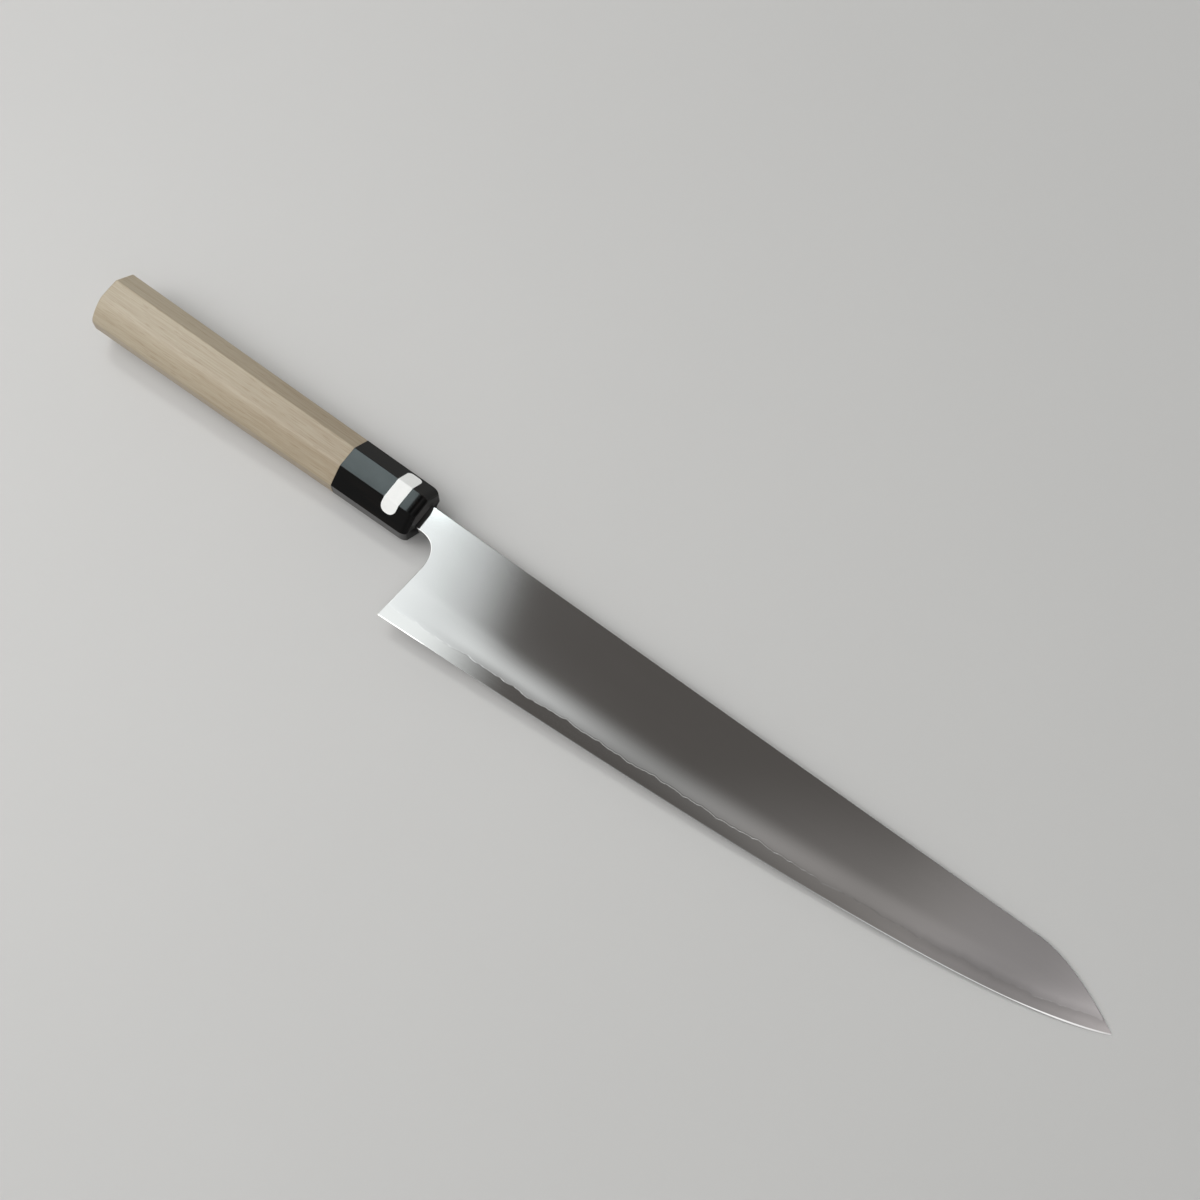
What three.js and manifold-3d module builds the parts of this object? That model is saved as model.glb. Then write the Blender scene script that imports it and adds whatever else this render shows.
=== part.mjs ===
// Kitchen slicing knife: a three-layer blade with a hidden tang, an eight-sided wooden handle
// and a horn ferrule that carries a blank paper band. Millimetres, +Z up.
// The knife lies on its side: +X runs to the tip, +Y to the spine, the edge faces -Y.
// While it is being built, x = 0 is the ferrule's front face and the handle's axis is y = z = 0.
import * as THREE from 'three';
import { mergeVertices } from 'three/addons/utils/BufferGeometryUtils.js';
import Module from 'manifold-3d';

const wasm = await Module();
wasm.setup();

// Gap left between pieces that slide into one another.
const FIT_GAP = 0.3;

// Handle: an octagon that narrows evenly from the butt to the front of the ferrule.
const HANDLE_LENGTH = 137;
const BUTT_HEIGHT = 21.8;
const BUTT_WIDTH = 19.0;
const FRONT_HEIGHT = 19.84;
const FRONT_WIDTH = 17.29;
// What each slanted facet takes off the height and the width. It keeps its slope, so it stays flat.
const BUTT_SLANT_HEIGHT = 6.69;
const BUTT_SLANT_WIDTH = 6.04;
const FRONT_SLANT_HEIGHT = 6.09;
const BUTT_ROUND = 0.8;
const FERRULE_LENGTH = 31.4;
const FRONT_ROUND_LENGTH = 3.0;
const FRONT_ROUND_DEPTH = 1.5;
const FRONT_ROUND_STEPS = 5;

// Blade outline.
const NECK_RISE = 4.9;
const NECK_DROP = 4.65;
const NECK_LENGTH = 2.5;
const SPINE_RISE_AT_NOSE = 3.5;
const NOSE_LENGTH = 35.5;
const NOSE_BEND = 14;
const HEEL_SETBACK = 8.9;
const HEEL_DROP = 36.15;
const CHOIL_REACH = 10.9;
const CHOIL_CURVE = 9.8;
const EDGE_RUN = 268.6;
const TIP_DROP = 9.3;
const EDGE_PULL_HEEL = 158.8;
const EDGE_SLOPE_HEEL = 0.037;
const EDGE_PULL_TIP = 32;
const EDGE_SLOPE_TIP = 0.454;

// Blade thickness, full on both sides. The core is a flat wedge that thins towards the tip.
const NECK_THICK = 2.8;
const TIP_THICK = 1.1;
const CORE_THICK_NECK = 0.9;
const CORE_THICK_TIP = 0.5;
const MICRO_BEVEL_RISE = 0.7;
const MICRO_BEVEL_THICK = 0.2;
// Where the core comes out from under the cladding, measured up from the edge, and how it waves.
const LAMINATION_RISE = 4.5;
const WAVE_HEIGHT = 0.4;
const WAVE_LENGTH = 31;
const RIPPLE_HEIGHT = 0.22;
const RIPPLE_LENGTH = 17;
// Shoulder of the rounded bevel: how far it lies above the core's seam, how thick the blade is
// there, and how far the face between stands out from a straight line.
const BEVEL_HEIGHT_NECK = 12;
const BEVEL_HEIGHT_TIP = 3.6;
const SHOULDER_THICK_NECK = 2.08;
const SHOULDER_THICK_TIP = 0.87;
const BEVEL_BULGE = 0.05;

// Tang, and the dowel and seal that hold it inside the handle.
const TANG_LENGTH = 92;
const TANG_HEIGHT = 8;
const TANG_END_HEIGHT = 5;
const TANG_END_THICK = 2.0;
const DOWEL_DIAMETER = 11;
const DOWEL_IN_WOOD = 24;
const FERRULE_WALL = 6;
const SEAL_LENGTH = 4;

// Paper band near the ferrule's front, over the upper facet and part of the two beside it.
const LABEL_WIDTH = 6;
const LABEL_SETBACK = 6.6;
const LABEL_REACH_SPINE = 7.2;
const LABEL_REACH_EDGE = 4.9;
const LABEL_CORNER = 1.9;
const LABEL_THICK = 0.2;
const LABEL_CORNER_STEPS = 5;

const BLADE_STATIONS = 96;
const ROUND_SEGMENTS = 40;
const OUTLINE_SEGMENTS = 12;
// How far the raw blade blank and the cutters run past what they have to cover.
const OVERRUN = 4;

const tipX = HEEL_SETBACK + EDGE_RUN;
const lerp = THREE.MathUtils.lerp;

// Closed body through a list of loops with equal point counts.
function loft(loops) {
  const count = loops[0].length;
  const positions = loops.flat().flatMap((p) => p.toArray());
  const index = [];
  for (let i = 0; i + 1 < loops.length; i += 1) {
    for (let j = 0; j < count; j += 1) {
      const a = i * count + j;
      const b = i * count + ((j + 1) % count);
      index.push(a, b, b + count, a, b + count, a + count);
    }
  }
  const last = (loops.length - 1) * count;
  for (let j = 1; j + 1 < count; j += 1) {
    index.push(0, j + 1, j, last, last + j, last + j + 1);
  }
  const geometry = new THREE.BufferGeometry();
  geometry.setAttribute('position', new THREE.Float32BufferAttribute(positions, 3));
  geometry.setIndex(index);
  return geometry;
}

function toSolid(geometry) {
  const bare = new THREE.BufferGeometry();
  bare.setAttribute('position', geometry.getAttribute('position'));
  bare.setIndex(geometry.getIndex());
  const merged = mergeVertices(bare);
  const solid = new wasm.Manifold(new wasm.Mesh({
    numProp: 3,
    vertProperties: new Float32Array(merged.getAttribute('position').array),
    triVerts: new Uint32Array(merged.getIndex().array),
  }));
  return solid;
}

function toGeometry(solid) {
  const mesh = solid.getMesh();
  const geometry = new THREE.BufferGeometry();
  const positions = new Float32Array(mesh.vertProperties);
  geometry.setAttribute('position', new THREE.BufferAttribute(positions, 3));
  geometry.setIndex(new THREE.BufferAttribute(new Uint32Array(mesh.triVerts), 1));
  return geometry;
}

// Corners of the handle's section at x, drawn in by inset on every facet, in order around +X.
function octagon(x, inset) {
  const along = (x + HANDLE_LENGTH) / HANDLE_LENGTH;
  const halfHeight = lerp(BUTT_HEIGHT, FRONT_HEIGHT, along) / 2;
  const halfWidth = lerp(BUTT_WIDTH, FRONT_WIDTH, along) / 2;
  const slantY = lerp(BUTT_SLANT_HEIGHT, FRONT_SLANT_HEIGHT, along);
  const slantZ = (slantY * BUTT_SLANT_WIDTH) / BUTT_SLANT_HEIGHT;
  const slantLength = Math.hypot(slantY, slantZ);
  const y = halfHeight - inset;
  const z = halfWidth - inset;
  const reach = slantZ * halfHeight + slantY * (halfWidth - slantZ) - inset * slantLength;
  const innerY = (reach - slantY * z) / slantZ;
  const innerZ = (reach - slantZ * y) / slantY;
  return {
    upperSpine: new THREE.Vector3(x, innerY, z),
    upperEdge: new THREE.Vector3(x, -innerY, z),
    edgeUpper: new THREE.Vector3(x, -y, innerZ),
    edgeLower: new THREE.Vector3(x, -y, -innerZ),
    lowerEdge: new THREE.Vector3(x, -innerY, -z),
    lowerSpine: new THREE.Vector3(x, innerY, -z),
    spineLower: new THREE.Vector3(x, y, -innerZ),
    spineUpper: new THREE.Vector3(x, y, innerZ),
  };
}

function handleLoop(x, inset) {
  return Object.values(octagon(x, inset));
}

function barrel(fromX, toX, radius) {
  const geometry = new THREE.CylinderGeometry(radius, radius, toX - fromX, ROUND_SEGMENTS);
  geometry.rotateZ(Math.PI / 2);
  geometry.translate((fromX + toX) / 2, 0, 0);
  return toSolid(geometry);
}

// Flat-sided passage for the tang.
function tangSlot(fromX, toX) {
  const height = TANG_HEIGHT + 2 * FIT_GAP;
  const geometry = new THREE.BoxGeometry(toX - fromX, height, NECK_THICK + 2 * FIT_GAP);
  geometry.translate((fromX + toX) / 2, 0, 0);
  return toSolid(geometry);
}

// Places along the handle, from the front backwards.
const jointX = -FERRULE_LENGTH;
const boreEndX = -FERRULE_WALL;
const sealBackX = boreEndX - FIT_GAP - SEAL_LENGTH;
const dowelFrontX = sealBackX - FIT_GAP;
const dowelBackX = jointX - DOWEL_IN_WOOD;
const woodBoreX = dowelBackX - FIT_GAP;
const tangEndX = -TANG_LENGTH;
const boreRadius = DOWEL_DIAMETER / 2 + FIT_GAP;

function handleBody() {
  const shell = loft([
    handleLoop(-HANDLE_LENGTH, BUTT_ROUND),
    handleLoop(-HANDLE_LENGTH + BUTT_ROUND, 0),
    handleLoop(jointX, 0),
  ]);
  const bore = barrel(woodBoreX, jointX + OVERRUN, boreRadius);
  const slot = tangSlot(tangEndX - FIT_GAP, woodBoreX + OVERRUN);
  return toGeometry(toSolid(shell).subtract(bore).subtract(slot));
}

function hornFerrule() {
  const loops = [handleLoop(jointX, 0)];
  for (let i = 0; i <= FRONT_ROUND_STEPS; i += 1) {
    const angle = (Math.PI / 2) * (i / FRONT_ROUND_STEPS);
    const x = FRONT_ROUND_LENGTH * (Math.sin(angle) - 1);
    loops.push(handleLoop(x, FRONT_ROUND_DEPTH * (1 - Math.cos(angle))));
  }
  const bore = barrel(jointX - OVERRUN, boreEndX, boreRadius);
  const slot = tangSlot(boreEndX - OVERRUN, OVERRUN);
  return toGeometry(toSolid(loft(loops)).subtract(bore).subtract(slot));
}

function slottedPlug(fromX, toX) {
  const plug = barrel(fromX, toX, DOWEL_DIAMETER / 2);
  return toGeometry(plug.subtract(tangSlot(fromX - OVERRUN, toX + OVERRUN)));
}

// The cutting edge in plan: one curve from the heel to the tip, run on a little at both ends.
function edgePoints() {
  const heel = new THREE.Vector2(HEEL_SETBACK, -HEEL_DROP);
  const tip = new THREE.Vector2(tipX, -TIP_DROP);
  const curve = new THREE.CubicBezierCurve(
    heel,
    new THREE.Vector2(heel.x + EDGE_PULL_HEEL, heel.y + EDGE_PULL_HEEL * EDGE_SLOPE_HEEL),
    new THREE.Vector2(tip.x - EDGE_PULL_TIP, tip.y - EDGE_PULL_TIP * EDGE_SLOPE_TIP),
    tip,
  );
  const points = curve.getPoints(BLADE_STATIONS);
  const tangBack = new THREE.Vector2(tangEndX - OVERRUN, heel.y);
  const ferruleFront = new THREE.Vector2(0, heel.y);
  const pastTip = new THREE.Vector2(tip.x + OVERRUN, tip.y + OVERRUN * EDGE_SLOPE_TIP);
  return [tangBack, ferruleFront, ...points, pastTip];
}

function spineRise(x) {
  return lerp(NECK_RISE, SPINE_RISE_AT_NOSE, x / (tipX - NOSE_LENGTH));
}

// Heights and half thicknesses across the raw blade at one point of its edge.
function bladeSection(point) {
  const { x, y } = point;
  const along = Math.max(x, 0) / tipX;
  const core = lerp(CORE_THICK_NECK, CORE_THICK_TIP, along) / 2;
  const back = x > 0
    ? lerp(NECK_THICK, TIP_THICK, along) / 2
    : lerp(NECK_THICK, TANG_END_THICK, -x / TANG_LENGTH) / 2;
  const wave = WAVE_HEIGHT * Math.sin((2 * Math.PI * x) / WAVE_LENGTH);
  const ripple = RIPPLE_HEIGHT * Math.sin((2 * Math.PI * x) / RIPPLE_LENGTH);
  const topY = spineRise(x) + OVERRUN;
  const seamY = y + LAMINATION_RISE + wave + ripple;
  const shoulderY = seamY + lerp(BEVEL_HEIGHT_NECK, BEVEL_HEIGHT_TIP, along);
  const shoulder = lerp(SHOULDER_THICK_NECK, SHOULDER_THICK_TIP, along) / 2;
  return {
    x,
    edgeY: y,
    microY: y + MICRO_BEVEL_RISE,
    micro: MICRO_BEVEL_THICK / 2,
    seamY,
    core,
    bulgeY: (seamY + shoulderY) / 2,
    bulge: (core + shoulder) / 2 + BEVEL_BULGE,
    shoulderY,
    shoulder,
    topY,
    back,
  };
}

// The knife's outline from above with its tang, running past the cutting edge.
function outlinePrism() {
  const noseX = tipX - NOSE_LENGTH;
  const bendX = noseX + NOSE_BEND;
  const bendY = spineRise(bendX);
  const runX = tipX - bendX;
  const runY = -TIP_DROP - bendY;
  const past = OVERRUN / Math.hypot(runX, runY);
  const belowY = -HEEL_DROP - OVERRUN;
  const choilTopY = -NECK_DROP - CHOIL_CURVE;
  const lean = (CHOIL_REACH - HEEL_SETBACK) / (HEEL_DROP + choilTopY);
  const shape = new THREE.Shape();
  shape.moveTo(tangEndX, TANG_END_HEIGHT / 2);
  shape.lineTo(tangEndX, -TANG_END_HEIGHT / 2);
  shape.lineTo(FIT_GAP, -TANG_HEIGHT / 2);
  shape.lineTo(FIT_GAP, -NECK_DROP);
  shape.lineTo(NECK_LENGTH, -NECK_DROP);
  shape.quadraticCurveTo(CHOIL_REACH, -NECK_DROP, CHOIL_REACH, choilTopY);
  shape.lineTo(HEEL_SETBACK - lean * OVERRUN, belowY);
  shape.lineTo(tipX + runX * past, belowY);
  shape.lineTo(tipX + runX * past, -TIP_DROP + runY * past);
  shape.lineTo(tipX, -TIP_DROP);
  shape.quadraticCurveTo(bendX, bendY, noseX, spineRise(noseX));
  shape.lineTo(FIT_GAP, spineRise(FIT_GAP));
  shape.lineTo(FIT_GAP, TANG_HEIGHT / 2);
  const depth = NECK_THICK + OVERRUN;
  const geometry = new THREE.ExtrudeGeometry(shape, {
    depth,
    bevelEnabled: false,
    curveSegments: OUTLINE_SEGMENTS,
  });
  geometry.translate(0, 0, -depth / 2);
  geometry.deleteAttribute('normal');
  geometry.deleteAttribute('uv');
  return toSolid(mergeVertices(geometry));
}

const sections = edgePoints().map(bladeSection);
const outline = outlinePrism();

function bladeCore() {
  const loops = sections.map((s) => [
    new THREE.Vector3(s.x, s.topY, s.core),
    new THREE.Vector3(s.x, s.seamY, s.core),
    new THREE.Vector3(s.x, s.microY, s.micro),
    new THREE.Vector3(s.x, s.edgeY, 0),
    new THREE.Vector3(s.x, s.microY, -s.micro),
    new THREE.Vector3(s.x, s.seamY, -s.core),
    new THREE.Vector3(s.x, s.topY, -s.core),
  ]);
  return toGeometry(toSolid(loft(loops)).intersect(outline));
}

// Cladding on the right side, which faces up as the knife lies.
function bladeCladding() {
  const loops = sections.map((s) => [
    new THREE.Vector3(s.x, s.topY, s.core),
    new THREE.Vector3(s.x, s.topY, s.back),
    new THREE.Vector3(s.x, s.shoulderY, s.shoulder),
    new THREE.Vector3(s.x, s.bulgeY, s.bulge),
    new THREE.Vector3(s.x, s.seamY, s.core),
  ]);
  return toGeometry(toSolid(loft(loops)).intersect(outline));
}

// The same shape on the other side of the core.
function mirrored(geometry) {
  const copy = geometry.clone().scale(1, 1, -1);
  const turned = Array.from(copy.getIndex().array).reverse();
  copy.setIndex(turned);
  return copy;
}

// Blank paper band: rows of four points from its spine end over the upper facet to its edge end.
function ferruleLabel() {
  const frontX = -LABEL_SETBACK;
  const backX = frontX - LABEL_WIDTH;
  const places = [];
  for (let i = 0; i <= LABEL_CORNER_STEPS; i += 1) {
    const angle = (Math.PI / 2) * (i / LABEL_CORNER_STEPS);
    const along = LABEL_CORNER * (1 - Math.cos(angle));
    const drawnIn = LABEL_CORNER * (1 - Math.sin(angle));
    places.push({ along, drawnIn });
  }
  const rowsOf = (fromCorner, toCorner, reach) => places.map(({ along, drawnIn }) => {
    const pointAt = (x, lift) => {
      const from = octagon(x, -lift)[fromCorner];
      const to = octagon(x, -lift)[toCorner];
      return from.clone().add(to.sub(from).setLength(reach - along));
    };
    const x0 = backX + drawnIn;
    const x1 = frontX - drawnIn;
    return [pointAt(x0, 0), pointAt(x1, 0), pointAt(x1, LABEL_THICK), pointAt(x0, LABEL_THICK)];
  });
  const ridgeRow = (corner) => [
    octagon(backX, 0)[corner],
    octagon(frontX, 0)[corner],
    octagon(frontX, -LABEL_THICK)[corner],
    octagon(backX, -LABEL_THICK)[corner],
  ];
  const spineRows = rowsOf('upperSpine', 'spineUpper', LABEL_REACH_SPINE);
  const edgeRows = rowsOf('upperEdge', 'edgeUpper', LABEL_REACH_EDGE).reverse();
  return loft([...spineRows, ridgeRow('upperSpine'), ridgeRow('upperEdge'), ...edgeRows]);
}

const steel = { roughness: 0.3, metalness: 1 };
const wood = { roughness: 0.65, metalness: 0 };
const horn = { roughness: 0.15, metalness: 0 };
const resin = { roughness: 0.5, metalness: 0 };
const paper = { roughness: 0.8, metalness: 0 };
const cladding = bladeCladding();
const dowel = slottedPlug(dowelBackX, dowelFrontX);
const seal = slottedPlug(sealBackX, boreEndX - FIT_GAP);
const pieces = [
  { name: 'blade_core', geometry: bladeCore(), color: 0x8d8a88, ...steel },
  { name: 'blade_cladding_right', geometry: cladding, color: 0xb4b6b8, ...steel },
  { name: 'blade_cladding_left', geometry: mirrored(cladding), color: 0xb4b6b8, ...steel },
  { name: 'handle_body', geometry: handleBody(), color: 0xc6bca6, ...wood },
  { name: 'horn_ferrule', geometry: hornFerrule(), color: 0x0d0d0d, ...horn },
  { name: 'joining_dowel', geometry: dowel, color: 0xb9a37c, ...wood },
  { name: 'tang_seal', geometry: seal, color: 0x1c1a18, ...resin },
  { name: 'ferrule_label', geometry: ferruleLabel(), color: 0xf2f2ee, ...paper },
];

const knife = new THREE.Group();
knife.name = 'slicing_knife';
for (const { name, geometry, ...look } of pieces) {
  const flat = geometry.toNonIndexed();
  flat.computeVertexNormals();
  const mesh = new THREE.Mesh(flat, new THREE.MeshStandardMaterial(look));
  mesh.name = name;
  knife.add(mesh);
}

// Set the knife on the plane z = 0, centred on the origin.
const box = new THREE.Box3().setFromObject(knife);
const centre = box.getCenter(new THREE.Vector3());
for (const mesh of knife.children) {
  mesh.geometry.translate(-centre.x, -centre.y, -box.min.z);
}

export default knife;
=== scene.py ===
"""Slicing knife, dressed: a three-layer blade, a wooden handle, a horn ferrule and a blank paper band."""

import math

import bpy
import numpy as np
from bpy.props import FloatProperty, FloatVectorProperty, PointerProperty
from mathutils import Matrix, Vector
from mathutils.geometry import delaunay_2d_cdt


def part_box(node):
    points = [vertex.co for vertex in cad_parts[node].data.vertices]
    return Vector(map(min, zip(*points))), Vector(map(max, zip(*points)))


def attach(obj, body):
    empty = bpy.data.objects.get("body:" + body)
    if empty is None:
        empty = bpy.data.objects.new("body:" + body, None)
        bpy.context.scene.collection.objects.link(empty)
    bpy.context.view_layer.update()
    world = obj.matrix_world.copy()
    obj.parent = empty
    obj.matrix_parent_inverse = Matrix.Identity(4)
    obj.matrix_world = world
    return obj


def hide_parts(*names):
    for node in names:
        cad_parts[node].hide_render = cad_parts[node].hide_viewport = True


bl_info = {
    "name": "Slicing knife",
    "version": (1, 0, 0),
    "blender": (4, 5, 0),
    "location": "3D View > Sidebar > Knife",
    "description": "Builds the visible pieces of a slicing knife around its solids, and the stage it lies on",
    "category": "Object",
}

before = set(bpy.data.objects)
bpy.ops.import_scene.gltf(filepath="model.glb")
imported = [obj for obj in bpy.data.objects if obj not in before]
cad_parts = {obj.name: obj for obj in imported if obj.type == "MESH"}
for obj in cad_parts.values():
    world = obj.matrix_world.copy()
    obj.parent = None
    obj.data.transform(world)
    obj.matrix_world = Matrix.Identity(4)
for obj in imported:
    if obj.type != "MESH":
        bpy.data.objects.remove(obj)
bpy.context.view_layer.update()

MM = 0.001
HANDLE_LOW, HANDLE_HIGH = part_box("handle_body")
FERRULE_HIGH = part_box("horn_ferrule")[1]

# The knife's own zero: the middle of the handle's section, at the front face of the ferrule.
ZERO = Vector((
    FERRULE_HIGH.x,
    (HANDLE_LOW.y + HANDLE_HIGH.y) / 2,
    (HANDLE_LOW.z + HANDLE_HIGH.z) / 2,
))


def length(name, description, millimetres):
    return FloatProperty(
        name=name,
        description=description,
        default=millimetres * MM,
        min=0.0,
        precision=5,
        subtype="DISTANCE",
        unit="LENGTH",
    )


def colour(name, description, red, green, blue):
    return FloatVectorProperty(
        name=name,
        description=description,
        default=(red, green, blue),
        min=0.0,
        max=1.0,
        size=3,
        subtype="COLOR",
    )


def number(name, description, value):
    return FloatProperty(name=name, description=description, default=value)


class HandleSizes(bpy.types.PropertyGroup):
    """Sizes of the wooden handle and its horn ferrule."""

    handle_length: length("Handle length", "Butt to the ferrule's front face", 137.0)
    ferrule_length: length("Ferrule length", "Horn part of the handle", 31.4)
    butt_height: length("Butt height", "Spine to edge side at the butt", 21.8)
    butt_width: length("Butt width", "Left to right at the butt", 19.0)
    front_height: length("Front height", "Spine to edge side at the front", 19.84)
    slant_height: length("Slant height", "What a slanted facet takes off the height at the butt", 6.69)
    slant_width: length("Slant width", "What a slanted facet takes off the width at the butt", 6.04)
    wood_ridge: length("Wood ridge radius", "Rounding of the sanded wooden ridges", 1.1)
    side_ridge: length("Side ridge radius", "Rounding of the ridges at the edge side, at the joint", 1.4)
    crisp_ridge: length("Crisp ridge radius", "Rounding of the wooden ridge towards the spine", 0.45)
    soft_ridge: length("Soft ridge radius", "Rounding of the ridge towards the edge, at the joint", 1.8)
    full_top: length("Full side start", "Where the full side leaves the upper facet, from the axis", 3.0)
    full_shoulder: length("Full side shoulder", "Radius of the full side's upper turn", 4.0)
    full_slant: length("Full side slant", "Radius across the full side's slant", 16.2)
    full_flank: length("Full side flank", "Radius of the full side's turn to the edge", 3.5)
    swell_run: length("Swell run", "Length behind the joint over which the side fills out", 50.0)
    horn_ridge: length("Horn ridge radius", "Rounding of the polished horn ridges", 0.22)
    butt_round: length("Butt rounding", "Eased rim of the butt", 0.8)
    joint_ease: length("Joint ease", "Tiny ease on both sides of the joint", 0.07)
    front_round_length: length("Front rounding length", "Horn rounding along the knife", 3.0)
    front_round_depth: length("Front rounding depth", "Horn rounding towards the axis", 1.5)
    bore_radius: length("Bore radius", "Bore for the joining dowel", 5.8)
    bore_in_wood: length("Bore in wood", "Depth of the bore behind the joint", 24.3)
    ferrule_wall: length("Ferrule wall", "Horn left in front of the bore", 6.0)
    slot_height: length("Slot height", "Passage for the tang", 8.2)
    slot_width: length("Slot width", "Passage for the tang", 2.68)
    slot_end: length("Slot end", "How far the passage runs back from the front face", 92.3)


class BladeSizes(bpy.types.PropertyGroup):
    """Outline and thickness of the blade."""

    neck_rise: length("Neck rise", "Spine above the axis at the neck", 4.9)
    neck_drop: length("Neck drop", "Neck below the axis", 4.65)
    neck_length: length("Neck length", "Straight part under the neck", 2.5)
    neck_gap: length("Neck gap", "Gap between the neck's shoulders and the ferrule", 0.02)
    nose_rise: length("Nose rise", "Spine above the axis where the nose begins", 3.5)
    nose_length: length("Nose length", "Curved end of the spine", 35.5)
    nose_bend: length("Nose bend", "Where the nose bends most, from its start", 14.0)
    heel_setback: length("Heel setback", "Heel ahead of the ferrule", 8.9)
    heel_drop: length("Heel drop", "Heel below the axis", 36.15)
    choil_reach: length("Choil reach", "Deepest point of the choil ahead of the ferrule", 10.9)
    choil_curve: length("Choil curve", "Height of the curved part of the choil", 9.8)
    edge_run: length("Edge run", "Heel to tip along the knife", 268.6)
    tip_drop: length("Tip drop", "Tip below the axis", 9.3)
    edge_pull_heel: length("Edge pull at heel", "How long the edge keeps its heel slope", 158.8)
    edge_pull_tip: length("Edge pull at tip", "How long the edge keeps its tip slope", 32.0)
    edge_slope_heel: number("Edge slope at heel", "Rise of the edge at the heel", 0.037)
    edge_slope_tip: number("Edge slope at tip", "Rise of the edge at the tip", 0.454)
    back_thick_neck: length("Back thickness at neck", "Full thickness at the spine", 2.8)
    back_thick_tip: length("Back thickness at tip", "Full thickness at the spine", 1.1)
    tang_end_thick: length("Tang end thickness", "Full thickness", 2.0)
    shoulder_thick_neck: length("Shoulder thickness at neck", "Full thickness where the bevel begins", 2.12)
    shoulder_thick_tip: length("Shoulder thickness at tip", "Full thickness where the bevel begins", 0.94)
    bevel_height_neck: length("Bevel height at neck", "Seam to shoulder", 14.5)
    bevel_height_tip: length("Bevel height at tip", "Seam to shoulder", 7.5)
    core_thick_neck: length("Core thickness at neck", "Hard layer in the middle", 0.9)
    core_thick_tip: length("Core thickness at tip", "Hard layer in the middle", 0.5)
    seam_rise: length("Seam rise", "Where the core comes out, above the edge", 4.5)
    seam_stray: length("Seam stray", "How far the seam strays from its mean height", 0.3)
    step_start: length("Step start", "Where the seam's step begins, from the ferrule", 22.0)
    step_stop: length("Step stop", "Where the seam's step has run out, from the ferrule", 215.0)
    step_run: length("Step run", "Length over which the step grows and runs out", 70.0)
    seam_step: length("Seam step", "How far the cladding stands proud of the core", 0.03)
    micro_rise: length("Micro-bevel rise", "Height of the last bevel", 0.24)
    micro_thick: length("Micro-bevel thickness", "Full thickness at its top", 0.09)
    rim_round: length("Rim rounding", "Rounded rims of the outline", 0.2)
    tang_length: length("Tang length", "Hidden part behind the ferrule's front", 92.0)
    tang_height: length("Tang height", "At the neck", 8.0)
    tang_end_height: length("Tang end height", "At its end", 5.0)


class BandSizes(bpy.types.PropertyGroup):
    """Blank paper band on the ferrule."""

    width: length("Width", "Along the knife", 6.0)
    setback: length("Setback", "Behind the ferrule's front face", 6.6)
    reach_spine: length("Reach to spine", "Past the upper facet on the spine side", 7.2)
    reach_edge: length("Reach to edge", "Past the upper facet on the edge side", 4.9)
    corner_spine: length("Corner on spine side", "Corner radius", 1.8)
    corner_edge: length("Corner on edge side", "Corner radius", 2.7)
    thickness: length("Thickness", "Paper and glue", 0.12)


class KnifeColours(bpy.types.PropertyGroup):
    """Base colours of the finishes."""

    cladding: colour("Cladding steel", "Softer outer layers", 0.62, 0.612, 0.604)
    core: colour("Core steel", "Hard middle layer", 0.57, 0.56, 0.548)
    wood_light: colour("Light wood", "Early wood", 0.452, 0.387, 0.288)
    wood_dark: colour("Dark wood", "Late wood and fibres", 0.298, 0.226, 0.147)
    horn: colour("Horn", "Polished black horn", 0.002, 0.002, 0.002)
    horn_streak: colour("Horn streak", "Faint brown streaks in the horn", 0.0065, 0.005, 0.004)
    paper: colour("Paper", "Blank band", 0.90, 0.895, 0.875)
    floor: colour("Floor", "Pale floor", 0.575, 0.565, 0.555)


def finish_piece(mesh, name, node):
    """Puts a finished mesh in the scene in place of its solid."""
    piece = bpy.data.objects.new(name, mesh)
    bpy.context.scene.collection.objects.link(piece)
    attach(piece, "root")
    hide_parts(node)
    return piece


# Node trees.

def add(tree, kind, inputs=None, **settings):
    """New node with its settings, and each input linked to a socket or set to a value."""
    node = tree.nodes.new(kind)
    for key, value in settings.items():
        setattr(node, key, value)
    for key, value in (inputs or {}).items():
        if isinstance(value, bpy.types.NodeSocket):
            tree.links.new(value, node.inputs[key])
        else:
            node.inputs[key].default_value = value
    return node


def calc(tree, operation, *values, clamp=False):
    inputs = dict(enumerate(values))
    return add(tree, "ShaderNodeMath", inputs, operation=operation, use_clamp=clamp).outputs[0]


def soft_step(tree, value, start, end, low=0.0, high=1.0):
    """Smooth change from low at start to high at end."""
    inputs = {"Value": value, "From Min": start, "From Max": end, "To Min": low, "To Max": high}
    node = add(tree, "ShaderNodeMapRange", inputs, interpolation_type="SMOOTHSTEP")
    return node.outputs["Result"]


def blend_colours(tree, factor, first, second):
    inputs = {0: factor, 6: first, 7: second}
    return add(tree, "ShaderNodeMix", inputs, data_type="RGBA").outputs[2]


def scaled(tree, vector, factor):
    """A colour or a direction times a number."""
    return add(tree, "ShaderNodeVectorMath", {0: vector, "Scale": factor}, operation="SCALE").outputs[0]


def opaque(value):
    return (*value, 1.0)


def new_material(name):
    material = bpy.data.materials.new(name)
    material.use_nodes = True
    return material, material.node_tree, material.node_tree.nodes["Principled BSDF"]


def object_place(tree):
    return add(tree, "ShaderNodeTexCoord").outputs["Object"]


def stretched(tree, scale):
    """Object coordinates, scaled by axis."""
    inputs = {"Vector": object_place(tree), "Scale": scale}
    return add(tree, "ShaderNodeMapping", inputs).outputs["Vector"]


def noise(tree, vector, detail=2.0, roughness=0.5):
    inputs = {"Vector": vector, "Scale": 1.0, "Detail": detail, "Roughness": roughness, "Distortion": 0.0}
    return add(tree, "ShaderNodeTexNoise", inputs).outputs["Fac"]


# Finishes.

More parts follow.
